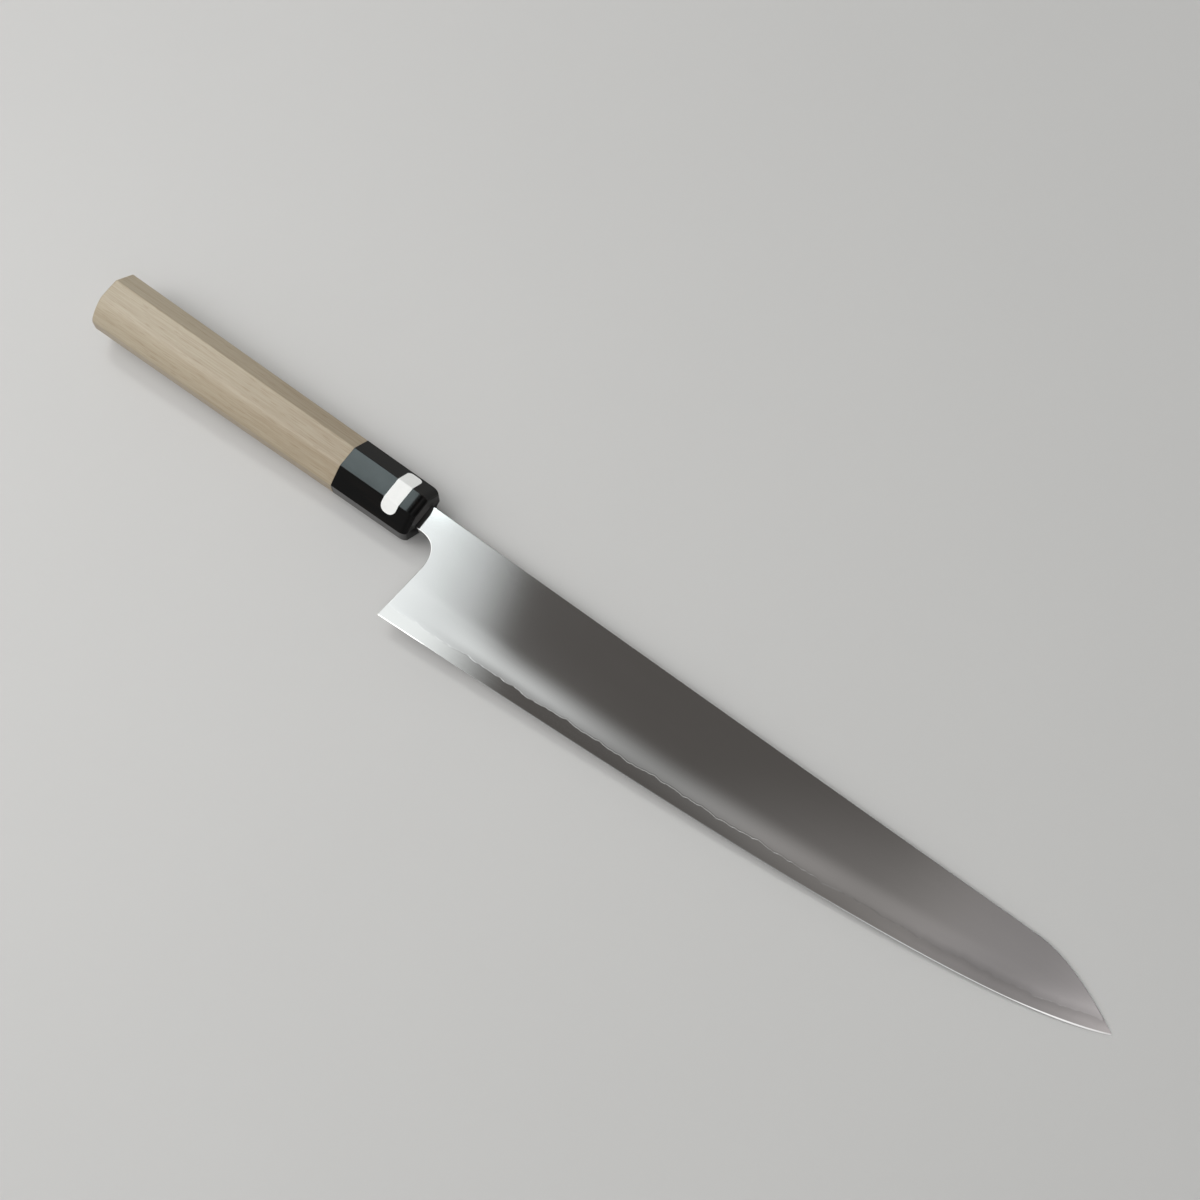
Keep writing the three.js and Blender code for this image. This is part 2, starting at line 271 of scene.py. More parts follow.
# Growth layers of the wood: where their centre lies from the handle's axis, towards the edge and down,
# how thick a layer is, and how far it wanders.
GROWTH_OFF_EDGE = 0.021
GROWTH_OFF_DOWN = 0.034
LAYER_THICK = 0.0027
LAYER_WANDER = 0.0042
# Where painted shade on the wood has begun and ended to darken it towards the ferrule, behind its front face:
# light falling off away from the butt, painted into the colour.
PAINTED_SHADE_FROM = 0.137
PAINTED_SHADE_FULL_AT = 0.025
# How much darker each of these makes the wood.
LATE_WOOD = 0.08
FIBRES = 0.30
STREAKS = 0.20
BROAD_TONE = 0.12
# Painted shade: the colour darkened towards the ferrule in place of light that falls off away from the butt.
PAINTED_SHADE_TOWARDS_FERRULE = 0.33
PORES = 0.30
LIGHTEST = -0.02


def wood_finish(colours):
    """Pale straight-grained wood: faint growth layers, fine fibres and short pores, with shade painted in
    towards the ferrule.
    """
    material, tree, surface = new_material("pale_wood")
    drift = noise(tree, stretched(tree, (7.0, 60.0, 60.0)))
    axes = add(tree, "ShaderNodeSeparateXYZ", {"Vector": object_place(tree)})
    off_y = calc(tree, "SUBTRACT", axes.outputs["Y"], ZERO.y - GROWTH_OFF_EDGE)
    off_z = calc(tree, "SUBTRACT", axes.outputs["Z"], ZERO.z - GROWTH_OFF_DOWN)
    square = calc(tree, "ADD", calc(tree, "POWER", off_y, 2.0), calc(tree, "POWER", off_z, 2.0))
    shifted = calc(tree, "MULTIPLY_ADD", drift, LAYER_WANDER, calc(tree, "SQRT", square))
    layer = calc(tree, "FRACT", calc(tree, "MULTIPLY", shifted, 1.0 / LAYER_THICK))
    late = calc(tree, "POWER", layer, 3.0)
    fibres = noise(tree, stretched(tree, (70.0, 2100.0, 2100.0)), detail=3.0, roughness=0.6)
    streaks = noise(tree, stretched(tree, (16.0, 620.0, 620.0)), roughness=0.55)
    broad = noise(tree, stretched(tree, (11.0, 90.0, 90.0)), detail=1.0)
    pores = noise(tree, stretched(tree, (190.0, 2800.0, 2800.0)), detail=0.0)
    pore = soft_step(tree, pores, 0.64, 0.76)
    # Painted shade: the wood grows darker towards the ferrule, as if less light reached it there.
    forward = soft_step(tree, axes.outputs["X"], ZERO.x - PAINTED_SHADE_FROM, ZERO.x - PAINTED_SHADE_FULL_AT)
    tone = calc(tree, "MULTIPLY_ADD", late, LATE_WOOD, LIGHTEST)
    tone = calc(tree, "MULTIPLY_ADD", soft_step(tree, fibres, 0.32, 0.70), FIBRES, tone)
    tone = calc(tree, "MULTIPLY_ADD", soft_step(tree, streaks, 0.40, 0.72), STREAKS, tone)
    tone = calc(tree, "MULTIPLY_ADD", broad, BROAD_TONE, tone)
    # Painted shade towards the ferrule, added to the wood's tone.
    tone = calc(tree, "MULTIPLY_ADD", forward, PAINTED_SHADE_TOWARDS_FERRULE, tone)
    tone = calc(tree, "MULTIPLY_ADD", pore, PORES, tone, clamp=True)
    shade = blend_colours(tree, tone, opaque(colours.wood_light), opaque(colours.wood_dark))
    tree.links.new(shade, surface.inputs["Base Color"])
    tree.links.new(calc(tree, "MULTIPLY_ADD", fibres, 0.12, 0.39), surface.inputs["Roughness"])
    relief = calc(tree, "MULTIPLY_ADD", pore, -0.5, fibres)
    bump = add(tree, "ShaderNodeBump", {"Strength": 0.10, "Distance": 0.0002, "Height": relief})
    tree.links.new(bump.outputs["Normal"], surface.inputs["Normal"])
    surface.inputs["IOR"].default_value = 1.52
    return material


# Roughness of the horn on its polished facets and on its cut front face.
HORN_POLISH = 0.05
HORN_CUT = 0.40


def horn_finish(colours):
    """Polished black horn with faint lengthwise streaks, and a duller front face."""
    material, tree, surface = new_material("black_horn")
    streaks = noise(tree, stretched(tree, (28.0, 420.0, 420.0)), detail=3.0, roughness=0.6)
    streak = soft_step(tree, streaks, 0.45, 0.75)
    shade = blend_colours(tree, streak, opaque(colours.horn), opaque(colours.horn_streak))
    tree.links.new(shade, surface.inputs["Base Color"])
    haze = noise(tree, stretched(tree, (300.0, 300.0, 300.0)))
    along = add(tree, "ShaderNodeSeparateXYZ", {"Vector": object_place(tree)}).outputs["X"]
    front = soft_step(tree, along, ZERO.x - 0.6 * MM, ZERO.x - 0.1 * MM, HORN_POLISH, HORN_CUT)
    tree.links.new(calc(tree, "MULTIPLY_ADD", haze, 0.05, front), surface.inputs["Roughness"])
    surface.inputs["IOR"].default_value = 1.28
    return material


def paper_finish(colours):
    """Matte blank paper with a trace of fibre."""
    material, tree, surface = new_material("white_paper")
    fibre = noise(tree, stretched(tree, (2600.0, 2600.0, 2600.0)), detail=3.0)
    mottle = calc(tree, "MULTIPLY_ADD", fibre, 0.05, 0.965)
    tree.links.new(scaled(tree, tuple(colours.paper), mottle), surface.inputs["Base Color"])
    bump = add(tree, "ShaderNodeBump", {"Strength": 0.12, "Distance": 0.00005, "Height": fibre})
    tree.links.new(bump.outputs["Normal"], surface.inputs["Normal"])
    surface.inputs["Roughness"].default_value = 0.72
    surface.inputs["IOR"].default_value = 1.45
    return material


# Thin lines along the seam, in centimetres of the seam map: how soft their borders are, and for each one
# its lower and upper height above the seam, its shade, and where along the blade it has come in.
SEAM_BLUR = 0.006
CLADDING_LINES = ((-0.01, 0.022, 1.45, 5.5), (0.034, 0.052, 0.72, 9.0))
LINE_COMES_IN_OVER = 3.0
LINE_FADES_FROM = 13.0
LINE_FADED_AT = 19.0
# Soft dark streak along the seam near the tip.
STREAK_REACH = 0.28
STREAK_START = 18.0
STREAK_FULL = 23.0
STREAK_SHADE = -0.17
STEEL_POLISH = 0.045


def steel_finish(name, base, seam_lines=()):
    """Finely polished steel with faint lengthwise stone marks and thin lines along the seam.

    The UV map holds the place along the blade and the height above the seam, both in centimetres."""
    material, tree, surface = new_material(name)
    marks = noise(tree, stretched(tree, (18.0, 5200.0, 5200.0)), roughness=0.65)
    cloud = noise(tree, stretched(tree, (45.0, 130.0, 130.0)), detail=3.0)
    seam_map = add(tree, "ShaderNodeUVMap", uv_map="seam").outputs["UV"]
    along, above = add(tree, "ShaderNodeSeparateXYZ", {"Vector": seam_map}).outputs[:2]
    grey = calc(tree, "MULTIPLY_ADD", cloud, 0.05, 0.95)
    grey = calc(tree, "MULTIPLY_ADD", marks, 0.05, grey)
    for low, high, line_shade, begun in seam_lines:
        line = soft_step(tree, above, low - SEAM_BLUR, low)
        line = calc(tree, "MULTIPLY", line, soft_step(tree, above, high + SEAM_BLUR, high))
        line = calc(tree, "MULTIPLY", line, soft_step(tree, along, LINE_FADED_AT, LINE_FADES_FROM))
        line = calc(tree, "MULTIPLY", line, soft_step(tree, along, begun - LINE_COMES_IN_OVER, begun))
        grey = calc(tree, "MULTIPLY", grey, calc(tree, "MULTIPLY_ADD", line, line_shade - 1.0, 1.0))
    soft = soft_step(tree, calc(tree, "ABSOLUTE", above), STREAK_REACH, 0.0)
    soft = calc(tree, "MULTIPLY", soft, soft_step(tree, along, STREAK_START, STREAK_FULL))
    grey = calc(tree, "MULTIPLY", grey, calc(tree, "MULTIPLY_ADD", soft, STREAK_SHADE, 1.0))
    tree.links.new(scaled(tree, tuple(base), grey), surface.inputs["Base Color"])
    tree.links.new(calc(tree, "MULTIPLY_ADD", marks, 0.02, STEEL_POLISH), surface.inputs["Roughness"])
    surface.inputs["Metallic"].default_value = 1.0
    return material


def plain_finish(name, base, rough, grain):
    """Hidden inner piece: one colour with some grain along the knife."""
    material, tree, surface = new_material(name)
    fibres = noise(tree, stretched(tree, (grain / 20.0, grain, grain)), detail=3.0)
    grey = calc(tree, "MULTIPLY_ADD", fibres, 0.3, 0.85)
    tree.links.new(scaled(tree, base, grey), surface.inputs["Base Color"])
    surface.inputs["Roughness"].default_value = rough
    return material


# Handle and ferrule: one eight-sided section drawn along the knife.

def section_corners(handle):
    """Section at the butt in metres: (towards the spine, up), in order around the knife."""
    y = handle.butt_height / 2
    z = handle.butt_width / 2
    inner_y = y - handle.slant_height
    inner_z = z - handle.slant_width
    return [
        (inner_y, z),
        (-inner_y, z),
        (-y, inner_z),
        (-y, -inner_z),
        (-inner_y, -z),
        (inner_y, -z),
        (y, -inner_z),
        (y, inner_z),
    ]


# The wood's rounded side: where it begins beside the axis, how many points it has and how finely its turns
# are drawn. The full side turns to these angles on its shoulder and across its slant.
SIDE_START = 0.0015
SIDE_POINTS = 48
TURN_STEPS = 25
FULL_TURNS = (math.radians(28.0), math.radians(56.0))


def traced(moves, count):
    """Points of half a side, from near the axis on top to the middle of the edge side, evenly spread.

    Moves are straight runs (length, None) and turns (radius, angle they end at)."""
    places, angle = [np.array([SIDE_START, 0.0])], 0.0
    for size, end in moves:
        if end is None:
            places.append(places[-1] + size * np.array([math.cos(angle), -math.sin(angle)]))
            continue
        for turn in np.linspace(angle, end, TURN_STEPS)[1:]:
            bend = np.array([math.sin(turn) - math.sin(angle), math.cos(turn) - math.cos(angle)])
            places.append(places[-1] + size * bend)
            angle = turn
    places = np.array(places)
    run = np.concatenate([[0.0], np.cumsum(np.linalg.norm(np.diff(places, axis=0), axis=1))])
    even = np.linspace(0.0, run[-1], count)
    return np.c_[np.interp(even, run, places[:, 0]), np.interp(even, run, places[:, 1])]


def wooden_section(handle):
    """Section of the wood at the joint, its ridge radii, and how much further out the full side lies.

    Towards the edge the wood is fuller than the horn: its ridges are rounded off under the fingers."""
    corners = section_corners(handle)
    top = handle.butt_width / 2
    slant = math.atan2(handle.slant_width, handle.slant_height)
    soft = handle.soft_ridge * math.tan(slant / 2)
    side = handle.side_ridge * math.tan((math.pi / 2 - slant) / 2)
    slant_run = math.hypot(handle.slant_width, handle.slant_height) - soft - side
    plain = traced([
        (handle.butt_height / 2 - handle.slant_height - SIDE_START - soft, None),
        (handle.soft_ridge, slant),
        (slant_run, None),
        (handle.side_ridge, math.pi / 2),
        (top - handle.slant_width - side, None),
    ], SIDE_POINTS)
    turns = [
        (handle.full_top - SIDE_START, None),
        (handle.full_shoulder, FULL_TURNS[0]),
        (handle.full_slant, FULL_TURNS[1]),
        (handle.full_flank, math.pi / 2),
    ]
    reached = traced(turns, 2)[-1][1]
    full = traced([*turns, (top + reached, None)], SIDE_POINTS)
    upper = np.c_[-plain[:, 0], top + plain[:, 1]]
    swell = np.c_[plain[:, 0] - full[:, 0], full[:, 1] - plain[:, 1]]
    upper[-1, 1] = swell[-1, 1] = 0.0
    lower, lower_swell = upper[-2::-1] * (1, -1), swell[-2::-1] * (1, -1)
    section = [corners[0], *map(tuple, upper), *map(tuple, lower), *corners[5:]]
    none = [(0.0, 0.0)]
    swells = none + [*map(tuple, swell), *map(tuple, lower_swell)] + none * 3
    sharp = [0.0] * (len(upper) + len(lower))
    rounds = [handle.crisp_ridge, *sharp, handle.crisp_ridge, handle.wood_ridge, handle.wood_ridge]
    return section, rounds, swells


LOFT_INPUTS = (
    "Back", "Front", "Butt", "Handle Length", "Front Scale", "Half Size",
    "Back Ease Length", "Back Ease Depth", "Front Ease Length", "Front Ease Depth",
    "Bore Radius", "Bore Back", "Bore Front", "Slot Height", "Slot Width", "Slot Back", "Slot Front",
    "Swell Run",
)
EASE_RINGS = 12
FILLET_STEPS = 9
BORE_SIDES = 48
# How much of the swell the wood already has at its joint with the horn.
SWELL_AT_JOINT = 0.35


def loft_tree():
    """Draws the section along the knife, eases both ends, and cuts the bore and the tang's passage."""
    tree = bpy.data.node_groups.new("eight_sided_loft", "GeometryNodeTree")
    tree.interface.new_socket("Section", in_out="INPUT", socket_type="NodeSocketGeometry")
    for name in LOFT_INPUTS:
        tree.interface.new_socket(name, in_out="INPUT", socket_type="NodeSocketFloat")
    tree.interface.new_socket("Axis", in_out="INPUT", socket_type="NodeSocketVector")
    tree.interface.new_socket("Material", in_out="INPUT", socket_type="NodeSocketMaterial")
    tree.interface.new_socket("Mesh", in_out="OUTPUT", socket_type="NodeSocketGeometry")
    given = add(tree, "NodeGroupInput").outputs
    axis = add(tree, "ShaderNodeSeparateXYZ", {"Vector": given["Axis"]}).outputs

    # Share of the way through the back ease, the straight part and the front ease.
    rings = 3 * EASE_RINGS
    share = calc(tree, "DIVIDE", add(tree, "GeometryNodeInputIndex").outputs[0], float(rings - 1))
    thrice = calc(tree, "MULTIPLY", share, 3.0)
    back_turn = calc(tree, "MULTIPLY", calc(tree, "MINIMUM", thrice, 1.0), math.pi / 2)
    straight = calc(tree, "SUBTRACT", thrice, 1.0, clamp=True)
    front_turn = calc(tree, "MULTIPLY", calc(tree, "SUBTRACT", thrice, 2.0, clamp=True), math.pi / 2)
    back_run = calc(tree, "SUBTRACT", 1.0, calc(tree, "COSINE", back_turn))
    back_in = calc(tree, "SUBTRACT", 1.0, calc(tree, "SINE", back_turn))
    front_run = calc(tree, "SINE", front_turn)
    front_in = calc(tree, "SUBTRACT", 1.0, calc(tree, "COSINE", front_turn))
    middle = calc(tree, "SUBTRACT", given["Front"], given["Back"])
    middle = calc(tree, "SUBTRACT", middle, given["Back Ease Length"])
    middle = calc(tree, "SUBTRACT", middle, given["Front Ease Length"])
    x = calc(tree, "MULTIPLY_ADD", back_run, given["Back Ease Length"], given["Back"])
    x = calc(tree, "MULTIPLY_ADD", straight, middle, x)
    x = calc(tree, "MULTIPLY_ADD", front_run, given["Front Ease Length"], x)
    inset = calc(tree, "MULTIPLY", back_in, given["Back Ease Depth"])
    inset = calc(tree, "MULTIPLY_ADD", front_in, given["Front Ease Depth"], inset)
    along = calc(tree, "DIVIDE", calc(tree, "SUBTRACT", x, given["Butt"]), given["Handle Length"])
    taper = calc(tree, "MULTIPLY_ADD", along, calc(tree, "SUBTRACT", given["Front Scale"], 1.0), 1.0)
    scale = calc(tree, "SUBTRACT", taper, calc(tree, "DIVIDE", inset, given["Half Size"]))

    line = add(tree, "GeometryNodeCurvePrimitiveLine", {"Start": (0, 0, 0), "End": (1, 0, 0)})
    line = add(tree, "GeometryNodeResampleCurve", {"Curve": line.outputs[0], "Count": rings})
    place = add(tree, "ShaderNodeCombineXYZ", {"X": x, "Y": axis["Y"], "Z": axis["Z"]})
    path = add(tree, "GeometryNodeSetPosition", {"Geometry": line.outputs[0], "Position": place.outputs[0]})
    ridge = add(tree, "GeometryNodeInputNamedAttribute", {"Name": "ridge_round"}, data_type="FLOAT")
    outline = add(tree, "GeometryNodeMeshToCurve", {"Mesh": given["Section"]})
    rounded = {"Curve": outline.outputs[0], "Count": FILLET_STEPS, "Radius": ridge.outputs[0]}
    outline = add(tree, "GeometryNodeFilletCurve", rounded, mode="POLY").outputs[0]
    drawn = {"Curve": path.outputs[0], "Profile Curve": outline, "Scale": scale, "Fill Caps": True}
    body = add(tree, "GeometryNodeCurveToMesh", drawn)

    swell = add(tree, "GeometryNodeInputNamedAttribute", {"Name": "swell"}, data_type="FLOAT_VECTOR")
    spot = add(tree, "ShaderNodeSeparateXYZ", {"Vector": add(tree, "GeometryNodeInputPosition").outputs[0]})
    filled = calc(tree, "SUBTRACT", given["Front"], given["Swell Run"])
    grown = soft_step(tree, spot.outputs["X"], given["Front"], filled, SWELL_AT_JOINT, 1.0)
    offset = scaled(tree, swell.outputs[0], grown)
    body = add(tree, "GeometryNodeSetPosition", {"Geometry": body.outputs[0], "Offset": offset})

    def middle_of(back, front):
        half = calc(tree, "MULTIPLY", calc(tree, "ADD", given[back], given[front]), 0.5)
        return add(tree, "ShaderNodeCombineXYZ", {"X": half, "Y": axis["Y"], "Z": axis["Z"]}).outputs[0]

    bore_length = calc(tree, "SUBTRACT", given["Bore Front"], given["Bore Back"])
    drill = {"Vertices": BORE_SIDES, "Radius": given["Bore Radius"], "Depth": bore_length}
    bore = add(tree, "GeometryNodeMeshCylinder", drill)
    bore = add(tree, "GeometryNodeTransform", {
        "Geometry": bore.outputs[0],
        "Translation": middle_of("Bore Back", "Bore Front"),
        "Rotation": (0.0, math.pi / 2, 0.0),
    })
    slot_length = calc(tree, "SUBTRACT", given["Slot Front"], given["Slot Back"])
    slot_size = {"X": slot_length, "Y": given["Slot Height"], "Z": given["Slot Width"]}
    slot_size = add(tree, "ShaderNodeCombineXYZ", slot_size).outputs[0]
    slot = add(tree, "GeometryNodeMeshCube", {"Size": slot_size})
    slot_place = {"Geometry": slot.outputs[0], "Translation": middle_of("Slot Back", "Slot Front")}
    slot = add(tree, "GeometryNodeTransform", slot_place)
    cutters = {"Mesh 1": body.outputs[0], "Mesh 2": bore.outputs[0]}
    cut = add(tree, "GeometryNodeMeshBoolean", cutters, operation="DIFFERENCE", solver="EXACT")
    tree.links.new(slot.outputs[0], cut.inputs["Mesh 2"])
    smooth = add(tree, "GeometryNodeSetShadeSmooth", {"Geometry": cut.outputs[0], "Shade Smooth": True})
    whole = add(tree, "GeometryNodeRealizeInstances", {"Geometry": smooth.outputs[0]})
    clad = add(tree, "GeometryNodeSetMaterial", {"Geometry": whole.outputs[0], "Material": given["Material"]})
    add(tree, "NodeGroupOutput", {"Mesh": clad.outputs[0]})
    return tree


def lofted(name, handle, shape, material, values):
    """Mesh of one eight-sided piece.

    Shape is its section, ridge radii and swell; values are the tree's inputs."""
    corners, rounds, swells = shape
    section = bpy.data.meshes.new(name + "_section")
    edges = [(i, (i + 1) % len(corners)) for i in range(len(corners))]
    section.from_pydata([(-y, -z, 0.0) for y, z in corners], edges, [])
    attribute = section.attributes.new("ridge_round", "FLOAT", "POINT")
    attribute.data.foreach_set("value", rounds)
    attribute = section.attributes.new("swell", "FLOAT_VECTOR", "POINT")
    attribute.data.foreach_set("vector", [value for y, z in swells for value in (0.0, y, z)])
    draft = bpy.data.objects.new(name + "_draft", section)
    bpy.context.scene.collection.objects.link(draft)
    tree = bpy.data.node_groups.get("eight_sided_loft") or loft_tree()
    nodes = draft.modifiers.new("loft", "NODES")
    nodes.node_group = tree
    inputs = {item.name: item.identifier for item in tree.interface.items_tree if item.in_out == "INPUT"}
    shared = {
        "Butt": ZERO.x - handle.handle_length,
        "Handle Length": handle.handle_length,
        "Front Scale": handle.front_height / handle.butt_height,
        "Half Size": (handle.butt_height + handle.butt_width) / 4,
        "Bore Radius": handle.bore_radius,
        "Slot Height": handle.slot_height,
        "Slot Width": handle.slot_width,
        "Swell Run": handle.swell_run,
        "Axis": ZERO,
        "Material": material,
    }
    for key, value in {**shared, **values}.items():
        nodes[inputs[key]] = value
    flat = draft.modifiers.new("flat facets", "WEIGHTED_NORMAL")
    flat.weight = 90
    flat.keep_sharp = True
    graph = bpy.context.evaluated_depsgraph_get()
    done = draft.evaluated_get(graph)
    mesh = bpy.data.meshes.new_from_object(done, preserve_all_data_layers=True, depsgraph=graph)
    mesh.name = name
    bpy.data.objects.remove(draft)
    return mesh


class KNIFE_OT_wooden_handle(bpy.types.Operator):
    """Eight-sided wooden handle with eased ridges"""

    bl_idname = "knife.wooden_handle"
    bl_label = "Wooden handle"

    def execute(self, context):
        handle = context.scene.knife_handle
        joint = ZERO.x - handle.ferrule_length
        bore_end = joint - handle.bore_in_wood
        material = wood_finish(context.scene.knife_colours)
        mesh = lofted("handle_wood", handle, wooden_section(handle), material, {
            "Back": ZERO.x - handle.handle_length,
            "Front": joint,
            "Back Ease Length": handle.butt_round,
            "Back Ease Depth": handle.butt_round,
            "Front Ease Length": handle.joint_ease,
            "Front Ease Depth": handle.joint_ease,
            "Bore Back": bore_end,
            "Bore Front": joint + handle.bore_radius,
            "Slot Back": ZERO.x - handle.slot_end,
            "Slot Front": bore_end + handle.bore_radius,
        })
        finish_piece(mesh, "handle_wood", "handle_body")
        return {"FINISHED"}


class KNIFE_OT_horn_ferrule(bpy.types.Operator):
    """Black horn ferrule, rounded at the front"""

    bl_idname = "knife.horn_ferrule"
    bl_label = "Horn ferrule"

    def execute(self, context):
        handle = context.scene.knife_handle
        joint = ZERO.x - handle.ferrule_length
        bore_front = ZERO.x - handle.ferrule_wall
        corners = section_corners(handle)
        shape = corners, [handle.horn_ridge] * len(corners), [(0.0, 0.0)] * len(corners)
        mesh = lofted("ferrule_horn", handle, shape, horn_finish(context.scene.knife_colours), {
            "Back": joint,
            "Front": ZERO.x,
            "Back Ease Length": handle.joint_ease,
            "Back Ease Depth": handle.joint_ease,
            "Front Ease Length": handle.front_round_length,
            "Front Ease Depth": handle.front_round_depth,
            "Bore Back": joint - handle.bore_radius,
            "Bore Front": bore_front,
            "Slot Back": bore_front - handle.bore_radius,
            "Slot Front": ZERO.x + handle.bore_radius,
        })
        finish_piece(mesh, "ferrule_horn", "horn_ferrule")
        return {"FINISHED"}


# The band's mesh: steps around a ridge, along a facet, along the band, around its corners and across it.
BAND_RIDGE_STEPS = 6
BAND_FACET_STEPS = 24
BAND_ROWS = 60
BAND_CORNER_STEPS = 10
BAND_COLUMNS = 13
GLUE_GAP = 0.004 * MM


class KNIFE_OT_paper_band(bpy.types.Operator):
    """Blank paper band glued over three facets of the ferrule"""

    bl_idname = "knife.paper_band"
    bl_label = "Paper band"

    def execute(self, context):
        handle = context.scene.knife_handle
        band = context.scene.knife_band
        corners = [Vector(c) for c in section_corners(handle)]
        top_half = corners[0].x

        def profile():
            """Points of the wrapped line at the butt's size: (distance from the middle, place, outward)."""
            up = Vector((0.0, 1.0))
            slant = (corners[7] - corners[0]).normalized()
            out = Vector((-slant.y, slant.x))
            bend = math.acos(up.dot(out))
            radius = handle.horn_ridge
            ease = radius * math.tan(bend / 2)
            line = [(0.0, Vector((0.0, corners[0].y)), up)]
            travelled = top_half - ease
            centre = Vector((top_half - ease, corners[0].y - radius))
            for step in range(BAND_RIDGE_STEPS + 1):
                turn = bend * step / BAND_RIDGE_STEPS
                normal = Vector((math.sin(turn), math.cos(turn)))
                line.append((travelled + radius * turn, centre + normal * radius, normal))
            reached = travelled + radius * bend
            far = (corners[7] - corners[0]).length - ease
            for step in range(1, BAND_FACET_STEPS + 1):
                share = step / BAND_FACET_STEPS
                line.append((reached + far * share, corners[0] + slant * (ease + far * share), out))
            return line

        def scale_at(x):
            """Size of the section at x, as a share of the butt's."""
            return 1 - (1 - handle.front_height / handle.butt_height) * (1 + x / handle.handle_length)

        line = profile()
        travels = [t for t, _, _ in line]
        middle = -band.setback - band.width / 2
        scale = scale_at(middle)

        def wrapped(distance, x, lift):
            """Place of a point at a distance from the middle line, positive towards the spine."""
            size = scale_at(x)
            travel = abs(distance) / scale
            spot = [float(np.interp(travel, travels, [p[i] for _, p, _ in line])) for i in (0, 1)]
            out = [float(np.interp(travel, travels, [n[i] for _, _, n in line])) for i in (0, 1)]
            out = Vector(out).normalized()
            side = 1 if distance >= 0 else -1
            y = side * (spot[0] * size + out.x * lift)
            z = spot[1] * size + out.y * lift
            return ZERO + Vector((x, y, z))

        low = -(top_half * scale + band.reach_edge)
        high = top_half * scale + band.reach_spine
        rows = set(np.linspace(low, high, BAND_ROWS))
        for end, corner, sign in ((low, band.corner_edge, 1), (high, band.corner_spine, -1)):
            for k in range(BAND_CORNER_STEPS + 1):
                rows.add(end + sign * corner * (1 - math.cos(math.pi / 2 * k / BAND_CORNER_STEPS)))
        ridge = top_half * scale
        for offset in (-0.5, -0.25, 0, 0.25, 0.5):
            rows.update(side * (ridge + offset * handle.horn_ridge) for side in (-1, 1))
        rows = sorted(rows)
        columns = BAND_COLUMNS
        vertices = []
        for lift in (GLUE_GAP, band.thickness):
            for distance in rows:
                from_low, from_high = distance - low, high - distance
                drawn = 0.0
                for gap, corner in ((from_low, band.corner_edge), (from_high, band.corner_spine)):
                    if gap < corner:
                        drawn = max(drawn, corner - math.sqrt(max(corner ** 2 - (corner - gap) ** 2, 0.0)))
                half = band.width / 2 - drawn
                for column in range(columns):
                    vertices.append(wrapped(distance, middle + half * (2 * column / (columns - 1) - 1), lift))
        count = len(rows) * columns
        faces = []
        for row in range(len(rows) - 1):
            for column in range(columns - 1):
                a = row * columns + column
                b, c, d = a + 1, a + columns + 1, a + columns
                faces.append((a, d, c, b))
                faces.append((a + count, b + count, c + count, d + count))
        rim = [row * columns for row in range(len(rows))]
        rim += [(len(rows) - 1) * columns + column for column in range(1, columns)]
        rim += [row * columns + columns - 1 for row in reversed(range(len(rows) - 1))]
        rim += list(reversed(range(1, columns - 1)))
        for first, second in zip(rim, rim[1:] + rim[:1]):
            faces.append((first, first + count, second + count, second))
        mesh = bpy.data.meshes.new("paper_band")
        mesh.from_pydata(vertices, [], faces)
        mesh.validate()
        mesh.shade_smooth()
        mesh.set_sharp_from_angle(angle=math.radians(50))
        mesh.materials.append(paper_finish(context.scene.knife_colours))
        finish_piece(mesh, "paper_band", "ferrule_label")
        return {"FINISHED"}


# Blade.

def eased(share):
    """From nothing at 0 to one at 1, without a kink at either end."""
    share = np.clip(share, 0, 1)
    return share * share * (3 - 2 * share)


# Waves of the seam: height and length in millimetres, and phase.
SEAM_WAVES = (
    (0.20, 37.0, 0.0), (0.16, 18.6, 0.4), (0.13, 10.3, 1.9), (0.11, 6.7, 0.7),
    (0.10, 4.3, 2.6), (0.06, 2.6, 1.1),
)
# What is left of the seam's step at heel and tip, as a share.
STEP_LEFT = 0.12
# How much higher the last bevel is at the tip, and over how much of the nose it grows.
MICRO_GROWTH = 1.3
MICRO_GROWTH_RUN = 0.7
# How far above the spine the flat of the cladding reaches the full thickness, in millimetres.
FACE_OVERRUN = 4.0


